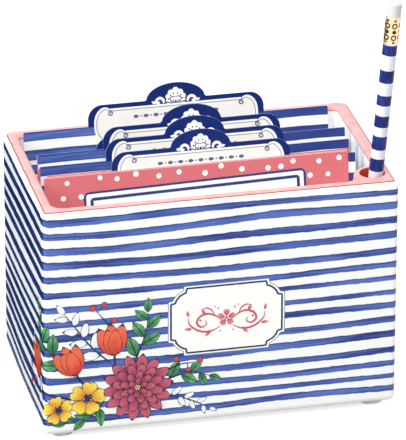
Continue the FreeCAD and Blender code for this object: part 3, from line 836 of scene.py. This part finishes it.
# ---- the box: plaque
PLAQUE_X, PLAQUE_Z = 2.6, 59.6
PLAQUE_QUARTER = ((28.4, 0.0, 1.0), (28.4, 9.8, 1.0), (26.2, 10.2, 1.0), (25.5, 12.1, 0.8), (23.9, 13.9, 0.75),
                  (22.0, 15.1, 0.8), (20.7, 15.5, 1.0), (20.3, 17.8, 1.0))


def plaque_outline(grown):
    """A ticket shaped plaque: straight sides, a small step at each end of them, and clipped corners. Each point of
    the quarter moves out by its own share of grown."""
    quarter = [(x + share * grown, y + (share * grown if y else 0)) for x, y, share in PLAQUE_QUARTER]
    half = quarter + mirrored(quarter[1:])
    return moved(half + [(-x, -y) for x, y in half], PLAQUE_X, PLAQUE_Z)


cream_glaze = painted_line("cream_slip", "#FBFBF6", "#FDFCF8")
slate_line = painted_line("slate_underglaze_line", "#5F6E8A", "#8290A6")
navy_line = painted_line("navy_underglaze_line", "#121A3C", "#2A3768")
coral_line = painted_line("coral_underglaze_line", "#BE4A58", "#D96E76")
coral_petal = painted_petal("coral_underglaze_petal", "#C24E5B", "#E08A8C", "#C24E5B", 0.12)

# A plain brushed flourish where a title would go: two scrolls that run out from a small blossom.
FLOURISH = (
    (((1.6, -1.2), (5.0, 1.8), (9.4, 3.6), (13.6, 2.4), (15.2, -0.9), (13.0, -3.4), (10.3, -2.2), (11.0, 0.1)), 0.62),
    (((3.0, -3.6), (7.0, -5.8), (11.6, -6.1), (15.8, -4.4), (19.0, -1.2), (19.6, 2.2)), 0.55),
    (((6.2, 2.4), (7.6, 5.4), (10.2, 6.9), (12.6, 6.1)), 0.42),
)
FLOURISH_LEAVES = ((11.0, 62.2, 62, 0.9), (17.8, 54.8, 4, 0.9), (8.2, 53.4, -52, 1.0), (19.5, 61.8, 78, 0.8))
FLOURISH_DOTS = ((13.4, 59.1, 0.6), (4.2, 65.0, 0.5), (6.0, 66.2, 0.38), (3.4, 52.4, 0.45))
BLOSSOM = (PLAQUE_X, PLAQUE_Z - 0.2)


def plaque():
    """The plaque's ground, its two outlines, and the flourish on it."""
    scrolls = [tapered(moved([(side * x, y) for x, y in smooth_through(line, 8)], PLAQUE_X, PLAQUE_Z - 0.8), half,
                       0.3, 0.35, 0.3) for side in (1, -1) for line, half in FLOURISH]
    leaves = [(PLAQUE_X + side * x, y, 90 - side * (90 - turn), size) for side in (1, -1)
              for x, y, turn, size in FLOURISH_LEAVES]
    dots = [(PLAQUE_X + side * x, y, r) for side in (1, -1) for x, y, r in FLOURISH_DOTS]
    return [
        patch(plaque_outline(1.4), -0.02, 0.06, cream_glaze),
        strokes([around(plaque_outline(1.35), 0.18)], slate_line, (0,), Low=0.04, Depth=0.035, Step=0.5, Ragged=0.08,
                Grain=0.8),
        strokes([around(plaque_outline(0.0), 0.48)], navy_line, (0,), Low=0.04, Depth=0.04, Step=0.5, Ragged=0.16,
                Grain=0.7),
        strokes(scrolls, coral_line, Low=0.05, Depth=0.03, Step=0.4, Ragged=0.2, Grain=0.9),
        petals(ROUND_PETAL, ring_of(BLOSSOM, 0.9, 5, 90, 1.0, 0.2), coral_petal, Length=4, Width=3.4, Notch=0.12,
               Low=0.045, Depth=0.03),
        petals(ALMOND_LEAF, leaves, coral_petal, Length=4.4, Width=1.9, Low=0.045, Depth=0.03),
        dabs([(*BLOSSOM, 0.75)] + dots, coral_line, Low=0.06, Depth=0.03),
    ]


box_paint("painted_plaque", plaque())


# ---- dividers: stock, label plates and ornament
# How wide each divider's navy and white stripes are, and the wash's darkest and lightest blue.
DIVIDER_PRINTS = {
    "divider_1": (4.7, 6.0, "#2F4488", "#4E63AA"),
    "divider_2": (4.7, 5.2, "#30458A", "#4C61AA"),
    "divider_3": (4.6, 5.0, "#374E94", "#566DB4"),
    "divider_4": (5.0, 4.6, "#3A5196", "#5A70B6"),
    "divider_5": (4.6, 4.9, "#3C5498", "#6078BE"),
}
label_paper = printing_ink("label_cream_print", "#F8F3EE", "#F1EAE6", 0.05)
white_print = printing_ink("white_print", "#F7F6F6", "#FDFCFA")
grey_print = printing_ink("grey_hairline_print", "#8D93A3", "#A5A9B5")
navy_print = printing_ink("navy_print", "#15215A", "#24327A")
slate_print = printing_ink("slate_print", "#4A5676", "#69738F")

# Half of a label plate's bowed end, from its notch, X from the tab's middle and Y down from the tab's top.
LABEL_END = ((-34.3, 4.0), (-35.1, 2.5), (-36.7, 1.8), (-38.4, 2.1), (-39.9, 3.1), (-41.2, 4.9), (-42.1, 7.4),
             (-42.35, 10.7))
LABEL_MIDDLE = LABEL_END[-1][1]
# A curl's middle, from the plate's middle, and how far down the border of lozenges and the ornament's foot lie.
CURL_X, CURL_Y = 34.3, 5.9
BORDER_DOWN, FOOT_DOWN = 7.5, 2.3
LOZENGE_PLACES = [5.2 * (i - 4) for i in range(9)]
FAN = ((2, 0.74), (178, 0.74), (31, 0.86), (149, 0.86), (60, 0.95), (120, 0.95), (90, 1.04))
SEED_ANGLES = (18, 47, 75, 105, 133, 162)
# The scrolls on one side of the fan's foot: two dark ones on it and a white one beside it.
DARK_SCROLLS = (((0.0, 3.1), (1.5, 3.6), (2.8, 2.6), (2.5, 1.2), (1.3, 1.0), (1.2, 2.0)),
                ((0.2, 0.5), (2.4, 0.2), (4.6, 0.9), (5.6, 0.5)))
WHITE_SCROLL = ((6.3, 0.5), (6.5, 2.1), (8.0, 3.2), (9.6, 2.6), (10.1, 1.2), (9.2, 0.6), (8.4, 1.2))


def label_outline(top, inset):
    """A label plate under a tab's top: straight above and below, with a bowed end that starts from a notch."""
    end = [*LABEL_END, *((x, 2 * LABEL_MIDDLE - y) for x, y in reversed(LABEL_END[:-1]))]
    bowed = [(x + inset if x < -38 else x + inset * 0.3, y + inset * (1 if y < LABEL_MIDDLE else -1) * 0.9)
             for x, y in smooth_through(end, 5)]
    left = [(-34.0, 2.7 + inset)] + bowed + [(-34.0, 18.7 - inset)]
    return [(x, top - y) for x, y in left + mirrored(left)]


def on_arc(width, height, angle):
    """A place on an upright oval round the middle of a fan's foot."""
    return width * math.cos(math.radians(angle)), height * math.sin(math.radians(angle))


def tab_print(leaf):
    """The printed plate and ornament of one tab, in the leaf's flat coordinates."""
    top = leaf.height - DOME_HEIGHT
    line = {"Low": 0.01, "Step": 0.5}
    slate = {"Low": 0.012, "Depth": 0.03}
    dark = {"Low": 0.03, "Depth": 0.03}
    white = {"Low": 0, "Depth": 0.03}
    plate = label_outline(top, 0.0)
    curl = [on_arc(1.5 - 0.055 * turn, 1.5 - 0.055 * turn, math.degrees(2.2 - 0.42 * turn)) for turn in range(22)]
    curls = [tapered([(side * (CURL_X - x), top - LABEL_MIDDLE + flip * (CURL_Y + y)) for x, y in curl], 0.34, 0.07,
                     0.5, 0.5) for side in (1, -1) for flip in (1, -1)]

    # Where a heading would go: a plain border of lozenges and dots.
    lozenges = [(x - 1.5, top - BORDER_DOWN, 0, 1.0) for x in LOZENGE_PLACES]
    dots = [(x + 2.6, top - BORDER_DOWN, 0.42) for x in LOZENGE_PLACES[:-1]]

    # The ornament: a fan of rounded petals over a double scroll, with a scroll and a leaf on each side.
    base = top - FOOT_DOWN
    fan_foot = base + 1.2
    fan = [(x, fan_foot + y, angle, size) for angle, size in FAN for x, y in [on_arc(0.35, 0.5, angle)]]
    seeds = [(x, fan_foot + y, 0.4) for x, y in (on_arc(3.9, 4.0, angle) for angle in SEED_ANGLES)]

    def scroll(side, points, *swell):
        """A brushed scroll on one side of the fan's foot."""
        return tapered([(side * x, base + y) for x, y in smooth_through(points)], *swell)

    dark_scrolls = [scroll(side, points, 0.27, 0.2, 0.2, 0.5) for side in (1, -1) for points in DARK_SCROLLS]
    white_scrolls = [scroll(side, WHITE_SCROLL, 0.72, 0.15, 0.3, 0.55) for side in (1, -1)]
    tails = [(10.3, base + 0.9, 12, 1.0), (-10.3, base + 0.9, 168, 1.0)]
    return [
        patch(plate, 0.0, 0.02, label_paper),
        strokes([around(plate, 0.43)], white_print, (0,), Depth=0.03, Ragged=0.05, **line),
        strokes([around(label_outline(top, 0.85), 0.23)], grey_print, (0,), Depth=0.035, Ragged=0.03, **line),
        strokes(curls, slate_print, Low=0.012, Depth=0.038, Step=0.25, Ragged=0.05),
        petals(ALMOND_LEAF, lozenges, slate_print, Length=3, Width=1.9, **slate),
        dabs(dots, slate_print, Wobble=0.02, **slate),
        petals(ROUND_PETAL, fan, white_print, Length=6.5, Width=4.2, Lift=0.003, **white),
        dabs(seeds, navy_print, Wobble=0.05, **dark),
        strokes(dark_scrolls, navy_print, Step=0.25, Ragged=0.04, **dark),
        strokes(white_scrolls, white_print, Step=0.3, Ragged=0.04, **white),
        petals(ALMOND_LEAF, tails, white_print, Length=2.4, Width=1.5, **white),
    ]


def leaf_piece(name, mesh, leaf):
    """A print on a leaf: a flat drawing, X from the leaf's middle and Y up from its foot, laid on its front."""
    leaf.place(mesh)
    piece(name, mesh, leaf.node)


for name, settings in DIVIDER_PRINTS.items():
    leaf = Leaf(name, DIVIDER_THICKNESS)
    coat(name, printed_divider_card(leaf, *settings))
    print_name = name.replace("divider", "tab_print")
    leaf_piece(print_name, joined_mesh(print_name, tab_print(leaf)), leaf)


# ---- recipe cards: dots, panel and ruled lines
DOT_RADIUS = 1.35
PANEL = (-58.0, 7.0, 56.0, 110.7)
PANEL_TURN = 1.2
TOP_DOTS = ((-66.1, 113.9), (-68.3, 106.1), (-49.3, 115.2), (-40.7, 113.9), (-31.0, 115.5), (-19.3, 113.4),
            (-9.0, 114.5), (4.3, 112.7), (12.6, 115.6), (23.3, 113.0), (36.7, 112.3), (43.4, 112.5), (49.7, 114.7),
            (58.3, 106.4), (63.1, 113.5), (67.6, 106.3), (73.5, 114.3), (-59.3, 106.3))
SIDE_COLUMNS = (-73.5, -65.0, 61.5, 69.5)
SIDE_TOP, SIDE_PITCH = 97.0, 9.4
FOOT_LEFT, FOOT_HEIGHT, FOOT_PITCH = -53.0, 3.4, 9.6
RULES, RULE_MARGIN, FIRST_RULE, RULE_PITCH = 11, 9, 17, 7.1
panel_white = printing_ink("panel_white_print", "#F5F6FA", "#FBFCFC", 0.04)
card_navy = printing_ink("card_navy_print", "#22326F", "#334581")
rule_print = printing_ink("pale_rule_print", "#B9C0D6", "#C8CDDD")


def scattered_dots():
    """White dots in the border round the panel: listed one by one along the top, then strewn about 10 mm apart."""
    places = list(TOP_DOTS)
    for row in range(11):
        places += [(x + chance.uniform(-1.6, 1.6) + row % 2 * 1.8,
                    SIDE_TOP - row * SIDE_PITCH + chance.uniform(-1.6, 1.6)) for x in SIDE_COLUMNS]
    places += [(FOOT_LEFT + column * FOOT_PITCH + chance.uniform(-1.5, 1.5), FOOT_HEIGHT + chance.uniform(-1.0, 1.0))
               for column in range(12)]
    return [(x, y, DOT_RADIUS * chance.uniform(0.93, 1.07)) for x, y in places]


def on_panel(points):
    """Turned a little about the panel's top right corner, as the print sits on the card."""
    _, _, right, high = PANEL
    return moved([(x - right, y - high) for x, y in points], right, high, PANEL_TURN)


def card_print():
    """The print on a recipe card's front."""
    left, _, right, high = PANEL
    frame_lines = [around(on_panel(rounded_box(*PANEL, radius, inset)), half)
                   for radius, inset, half in ((1.9, 0.6, 0.6), (0.9, 4.0, 0.8))]
    rules = [even(on_panel([(x, high - FIRST_RULE - RULE_PITCH * i) for x in (left + RULE_MARGIN,
                                                                              right - RULE_MARGIN)]), 0.14)
             for i in range(RULES)]
    return joined_mesh("card_print", [
        dabs(scattered_dots(), white_print, Low=0, Depth=0.03, Wobble=0.25),
        patch(on_panel(rounded_box(*PANEL, 2.4)), 0.0, 0.03, panel_white),
        strokes(frame_lines, card_navy, (0, 1), Low=0.02, Depth=0.03, Step=0.7, Ragged=0.12),
        strokes(rules, rule_print, Low=0.02, Depth=0.025, Step=2, Ragged=0.03),
    ])


card_stock = printed_recipe_card()
printed = card_print()
for name in sorted(node for node in nodes if node.startswith("recipe_card_")):
    coat(name, card_stock)
    leaf_piece(name.replace("recipe_card", "card_print"), printed.copy(), Leaf(name, CARD_THICKNESS))


# ---- box body, pencil and feet: finishes
coat("box_body", glazed_earthenware())
coat("pencil_barrel", lacquered_cedar())
coat("pencil_lead", fired_graphite())
coat("pencil_ferrule", rolled_brass("rolled_brass", "#F3DDB4", "#E3C598", 0.2))
coat("pencil_eraser", soft_moulded("moulded_vinyl_eraser", "#CDCCC8", "#D9D8D4", 0.62, 0.15, 1.8))
bumper = soft_moulded("clear_moulded_polyurethane", "#EBEBE8", "#F6F6F3", 0.35, 0.4, 0.6)
for node in ("foot_front_left", "foot_front_right", "foot_back_left", "foot_back_right"):
    coat(node, bumper)


# ---- the pencil's ferrule: stamps round it
STAMP_COLUMNS = 6
FIRST_COLUMN = Vector((0.07, -1.0, 0.0))
# Dark brass for the stamps: partly patina in their grooves, partly painted shade of the grooves.
stamp_patina_and_shade = rolled_brass("brass_stamp_patina_and_shade", "#5C3B1A", "#44280F", 0.35)
bright_brass = rolled_brass("bright_brass_boss", "#FBE3CC", "#EBC6A4", 0.25)


def rolled(name, meshes):
    """Flat drawings rolled round the ferrule: X runs round it, Y along it from the pencil's point, Z out of it."""
    whole = joined_mesh(name, meshes)
    ahead = (FIRST_COLUMN - PENCIL_AXIS * FIRST_COLUMN.dot(PENCIL_AXIS)).normalized()
    beside = PENCIL_AXIS.cross(ahead)
    for vertex in whole.vertices:
        x, y, out = vertex.co
        angle = x / FERRULE_RADIUS
        outward = math.cos(angle) * ahead + math.sin(angle) * beside
        vertex.co = (POINT_PLACE + PENCIL_AXIS * y + outward * (FERRULE_RADIUS + out)) * MM
    return whole


def stamps():
    """Each column from its top: a dot, a ring round a boss, a lozenge, a ring round a boss and a dot."""
    columns = [2 * math.pi * FERRULE_RADIUS * column / STAMP_COLUMNS for column in range(STAMP_COLUMNS)]
    centres = [(x, FERRULE_TOP - down) for x in columns for down in (4.3, 10.5)]
    rings = [even(arc(centre, 1.15, 0, 345, 23), 0.34) for centre in centres]
    dots = [(x, FERRULE_TOP - down, 0.6) for x in columns for down in (1.6, 13.0)]
    lozenges = [(x, FERRULE_TOP - 8.5, 90, 1.0) for x in columns]
    stamp = {"Low": -0.05, "Depth": 0.12}
    return [strokes(rings, stamp_patina_and_shade, range(len(rings)), Step=0.25, Ragged=0.03, **stamp),
            dabs(dots, stamp_patina_and_shade, Wobble=0.02, **stamp),
            petals(ALMOND_LEAF, lozenges, stamp_patina_and_shade, Length=2.2, Width=2.3, **stamp),
            dabs([(*centre, 0.6) for centre in centres], bright_brass, Low=-0.05, Depth=0.14, Wobble=0.02)]


piece("ferrule_stamps", rolled("ferrule_stamps", stamps()), "pencil")


# ---- the box: a painted posy round its lower left corner
INK = "#1A1F3C"
magenta_petal = painted_petal("magenta_underglaze_petal", "#98354F", "#C35D70", INK, 0.4)
vermilion_petal = painted_petal("vermilion_underglaze_petal", "#CE3A24", "#EC6A48", INK, 0.42)
yellow_petal = painted_petal("yellow_underglaze_petal", "#E2982A", "#F7DA52", INK, 0.36)
white_leaf = painted_petal("white_slip_leaf", "#E9EDF4", "#FCFCFA", "#1C2650", 0.42, 0.1)
green_leaf = painted_petal("green_underglaze_leaf", "#2B7646", "#62AE6E", "#15253A", veins=0.5, ribbed=True)
yellow_dab = painted_line("yellow_underglaze_dab", "#EDBE3A", "#F8DE62")
red_dab = painted_line("red_underglaze_berry", "#B5303A", "#D9545A")
posy = []


def over(level):
    """Heights for paint that ends this far over the glaze."""
    return {"Low": -0.06, "Depth": level + 0.06}


def stem(lines, ragged, depth=0.09, step=0.4):
    """Navy brush lines under the flowers."""
    posy.append(strokes(lines, navy_line, Low=-0.04, Depth=depth, Step=step, Ragged=ragged))


def sprig(line, finish, count, length, width, splay=46):
    """A brushed stem with leaves to each side by turns, shorter towards its tip, and one on its tip."""
    path = smooth_through(line, 12)
    stem([tapered(path, 0.42, 0.08, 0.5, 0.35)], 0.15, step=0.5)
    places = []
    for number in range(count + 1):
        at = round((0.2 + 0.8 * number / count) * (len(path) - 2))
        (x, y), (far_x, far_y) = path[at], path[at + 1]
        heading = math.degrees(math.atan2(far_y - y, far_x - x))
        side = 0 if number == count else (-1) ** number
        places.append((x, y, heading + side * (splay + chance.uniform(-7, 7)), 1.0 - 0.35 * number / count))
    posy.append(petals(ALMOND_LEAF, places, finish, Length=length, Width=width, Lift=0.006, **over(0.05)))


def tulip(x, y, heading, size):
    """A tulip seen from its side: one petal behind, one to each side, and two in front that meet."""
    fan = [(x, y, heading + turn, size * part) for turn, part in
           ((0, 1.0), (21, 0.97), (-21, 0.97), (8, 0.84), (-9, 0.8))]
    posy.append(petals(TULIP_PETAL, fan, vermilion_petal, Length=18.5, Width=9.4, Lift=0.014, **over(0.16)))


def primrose(x, y, radius, first):
    """Five notched petals round an orange eye with dark specks."""
    places = ring_of((x, y), radius * 0.16, 5, first, radius / 9, 0.25)
    specks = [(px, py, 0.34) for px, py, _, _ in ring_of((x, y), radius * 0.3, 9, first + 20, 1.0, 0.3)]
    posy.extend([
        petals(ROUND_PETAL, places, yellow_petal, Length=8, Width=8.4, Notch=0.13, Lift=0.012, **over(0.3)),
        dabs([(x, y, radius * 0.17)], vermilion_petal, Wobble=0.2, **over(0.42)),
        dabs(specks, navy_line, Wobble=0.1, **over(0.42)),
        dabs([(x, y, radius * 0.08)], navy_line, Wobble=0.1, **over(0.45)),
    ])


def dahlia(x, y):
    """Rings of pointed petals, each ring shorter than the one below it, round a tuft of yellow dabs."""
    level = 0.18
    for count, radius, length, width, first in ((14, 7.4, 11.2, 6.2, 4), (12, 5.4, 8.6, 5.2, 17),
                                                (9, 3.2, 6.6, 4.2, 2), (6, 1.2, 4.6, 3.2, 24)):
        posy.append(petals(POINTED_PETAL, ring_of((x, y), radius, count, first, 1.0, 0.22), magenta_petal,
                           Length=length, Width=width, Lift=0.008, **over(level)))
        level += 0.008 * count + 0.02
    tuft = [(x + 1.15 * math.cos(a), y + 1.15 * math.sin(a), 0.42) for a in (0.3, 1.6, 2.9, 4.1, 5.3)]
    posy.append(dabs(tuft + [(x, y, 0.5)], yellow_dab, Wobble=0.15, **over(level)))


def berries(line, places):
    """Red berries on a thin forked stem: each one's place and radius, and how far up the stem its twig starts."""
    path = smooth_through(line, 10)
    stem([tapered(path, 0.34, 0.1, 0.3, 0.4)], 0.1)
    stem([even([(x, y), path[round(at * (len(path) - 1))]], 0.22) for x, y, _, at in places], 0.06)
    posy.append(dabs([(x, y, r + 0.28) for x, y, r, _ in places], navy_line, Wobble=0.15, **over(0.07)))
    posy.append(dabs([(x, y, r) for x, y, r, _ in places], red_dab, Wobble=0.15, **over(0.1)))


# Leaves and sprigs lie under the flowers.
sprig([(-56, 40), (-66, 50), (-73, 60), (-80, 70)], white_leaf, 7, 11.0, 5.2)
sprig([(-30, 20), (-22, 18), (-14, 14.5), (-6, 10)], white_leaf, 6, 7.6, 3.6)
sprig([(-88, 22), (-96, 26), (-103, 36), (-110, 50)], white_leaf, 7, 10.5, 5.4)
sprig([(-46, 36), (-41, 48), (-38, 58), (-37.5, 67)], green_leaf, 5, 12.5, 6.8)
sprig([(-32, 27), (-22, 30), (-14, 31), (-6, 28)], green_leaf, 4, 11.0, 5.8)
sprig([(-60, 20), (-65, 13), (-72, 10.5), (-80, 9.4)], green_leaf, 4, 10.5, 5.2, 34)
sprig([(-74, 34), (-86, 48), (-93, 57), (-99, 69)], green_leaf, 6, 12.5, 6.4)
berries([(-28, 33), (-21, 36), (-13, 36)], [(-23, 39, 1.3, 0.45), (-17, 32.6, 1.1, 0.7), (-11, 37.4, 1.4, 1.0)])
berries([(-56, 54), (-58, 62), (-63, 69)], [(-54.5, 64, 1.3, 0.5), (-59.5, 73, 1.3, 1.0), (-65.4, 71.5, 1.5, 1.0)])
berries([(-104, 16), (-112, 20), (-118, 27)], [(-110, 26, 1.5, 0.5), (-119.5, 30, 1.6, 1.0), (-119, 20, 1.4, 0.7)])
stem([tapered(smooth_through(line, 8), 0.6, 0.1, 0.1, 0.6) for line in
      ([(-50, 30), (-54, 38), (-54.5, 46)], [(-66, 26), (-72, 32), (-74.5, 38)],
       [(-76, 22), (-90, 27), (-100, 34)])], 0.15, 0.1, 0.5)
tulip(-54.5, 44.5, 97, 1.0)
tulip(-74.0, 35.5, 112, 0.98)
tulip(-100.0, 31.0, 112, 1.12)
dahlia(-43.0, 25.5)
primrose(-68.5, 22.0, 9.2, 80)
primrose(-83.5, 17.0, 7.6, 100)
box_paint("painted_posy", posy)


# ---- floor, lamps, camera
WORLD_LIGHT = 0.46
WHITE = (1, 1, 1, 1)


def seen_directly(add):
    """1 for what the camera sees itself, in a reflection or through glass, 0 for light on its way to a surface."""
    ray = add("LightPath").outputs
    direct = add("Math.MAXIMUM", ray["Is Camera Ray"], ray["Is Glossy Ray"])
    return add("Math.MAXIMUM", direct, ray["Is Transmission Ray"])


def staged_sheet(name, material, left, front, right, back, rise, hidden_from=()):
    """A level sheet of the set, hidden from some kinds of ray. Its edges and its height are in metres."""
    mesh = bpy.data.meshes.new(name)
    mesh.from_pydata([(left, front, rise), (right, front, rise), (right, back, rise), (left, back, rise)], [],
                     [(0, 1, 2, 3)])
    mesh.materials.append(material)
    sheet = new_object(name, mesh)
    for ray in hidden_from:
        setattr(sheet, "visible_" + ray, False)


def pale_floor():
    """A plain white sweep that keeps the object's soft shadow."""
    material, add = bare_material("white_paper_sweep")
    diffuse = add("BsdfDiffuse", "#B4B4B4")
    lit = add("AddShader", diffuse, add("Emission", WHITE, 0.72))
    add("OutputMaterial", add("MixShader", seen_directly(add), diffuse, lit))
    staged_sheet("floor", material, -12, -12, 12, 12, 0)


def white_room():
    """A white world: the camera, metal and glass see it at full white, and less of its light reaches the object."""
    world = bpy.data.worlds.new("white_room")
    bpy.context.scene.world = world
    world.use_nodes = True
    add = adder(world.node_tree)
    strength = add("MapRange", seen_directly(add), 0, 1, WORLD_LIGHT, 1)
    add("OutputWorld", add("Background", WHITE, strength))


def dark_flag():
    """A black card that lies on the floor beside the box: only the gloss on the box's left end sees it,
    so that the end's colours stay deep at a grazing view."""
    material, add = bare_material("black_flock_card")
    add("OutputMaterial", add("BsdfDiffuse", "#141416"))
    staged_sheet("dark_flag", material, -0.6, -0.09, -0.093, 0.6, 0.0012,
                 ("camera", "diffuse", "shadow", "transmission", "volume_scatter"))


def soft_lamp(name, place, target, size, power, tint=(1.0, 1.0, 1.0)):
    """A square soft box that points at a target. Places are in metres, power in watts."""
    lamp = bpy.data.lights.new(name, "AREA")
    lamp.size, lamp.energy, lamp.color = size, power, tint
    item = new_object(name, lamp)
    item.location = place
    item.rotation_euler = (Vector(target) - Vector(place)).to_track_quat("-Z", "Y").to_euler()


AIM = (2.556, 0.0, RIM_Z - 35.695)
TURN, LOOK_DOWN, TILT = (math.radians(angle) for angle in (-13.062, 24.881, 0.153))
DISTANCE = 2.525146
SENSOR, FOCAL_PIXELS, PICTURE_PIXELS = 36.0, 5000.0, 440.0


def studio_camera():
    """A long lens, turned a little to the box's left and looking down on it."""
    back = Vector((math.sin(TURN) * math.cos(LOOK_DOWN), -math.cos(TURN) * math.cos(LOOK_DOWN),
                   math.sin(LOOK_DOWN)))
    level = Vector((math.cos(TURN), math.sin(TURN), 0.0))
    upright = back.cross(level)
    right = math.cos(TILT) * level + math.sin(TILT) * upright
    up = math.cos(TILT) * upright - math.sin(TILT) * level
    data = bpy.data.cameras.new("camera")
    data.sensor_width = SENSOR
    data.lens = FOCAL_PIXELS * SENSOR / PICTURE_PIXELS
    data.clip_end = 100.0
    camera = new_object("camera", data)
    turned = Matrix((right, up, back)).transposed().to_4x4()
    camera.matrix_world = Matrix.Translation(Vector(AIM) * MM + back * DISTANCE) @ turned
    bpy.context.scene.camera = camera


pale_floor()
white_room()
dark_flag()
soft_lamp("key", (-0.3, -1.55, 1.6), (0, 0, 0.1), 0.8, 26, (1.0, 0.985, 0.96))
soft_lamp("left", (-1.75, -0.3, 1.3), (0, 0, 0.08), 0.9, 41, (0.86, 0.945, 1.0))
soft_lamp("top", (0.1, 0.2, 1.8), (0, 0, 0.08), 1.0, 3)
soft_lamp("back", (1.45, 1.0, 1.0), (0, 0, 0.08), 0.9, 13)
studio_camera()
bpy.context.scene.view_settings.view_transform = "Standard"
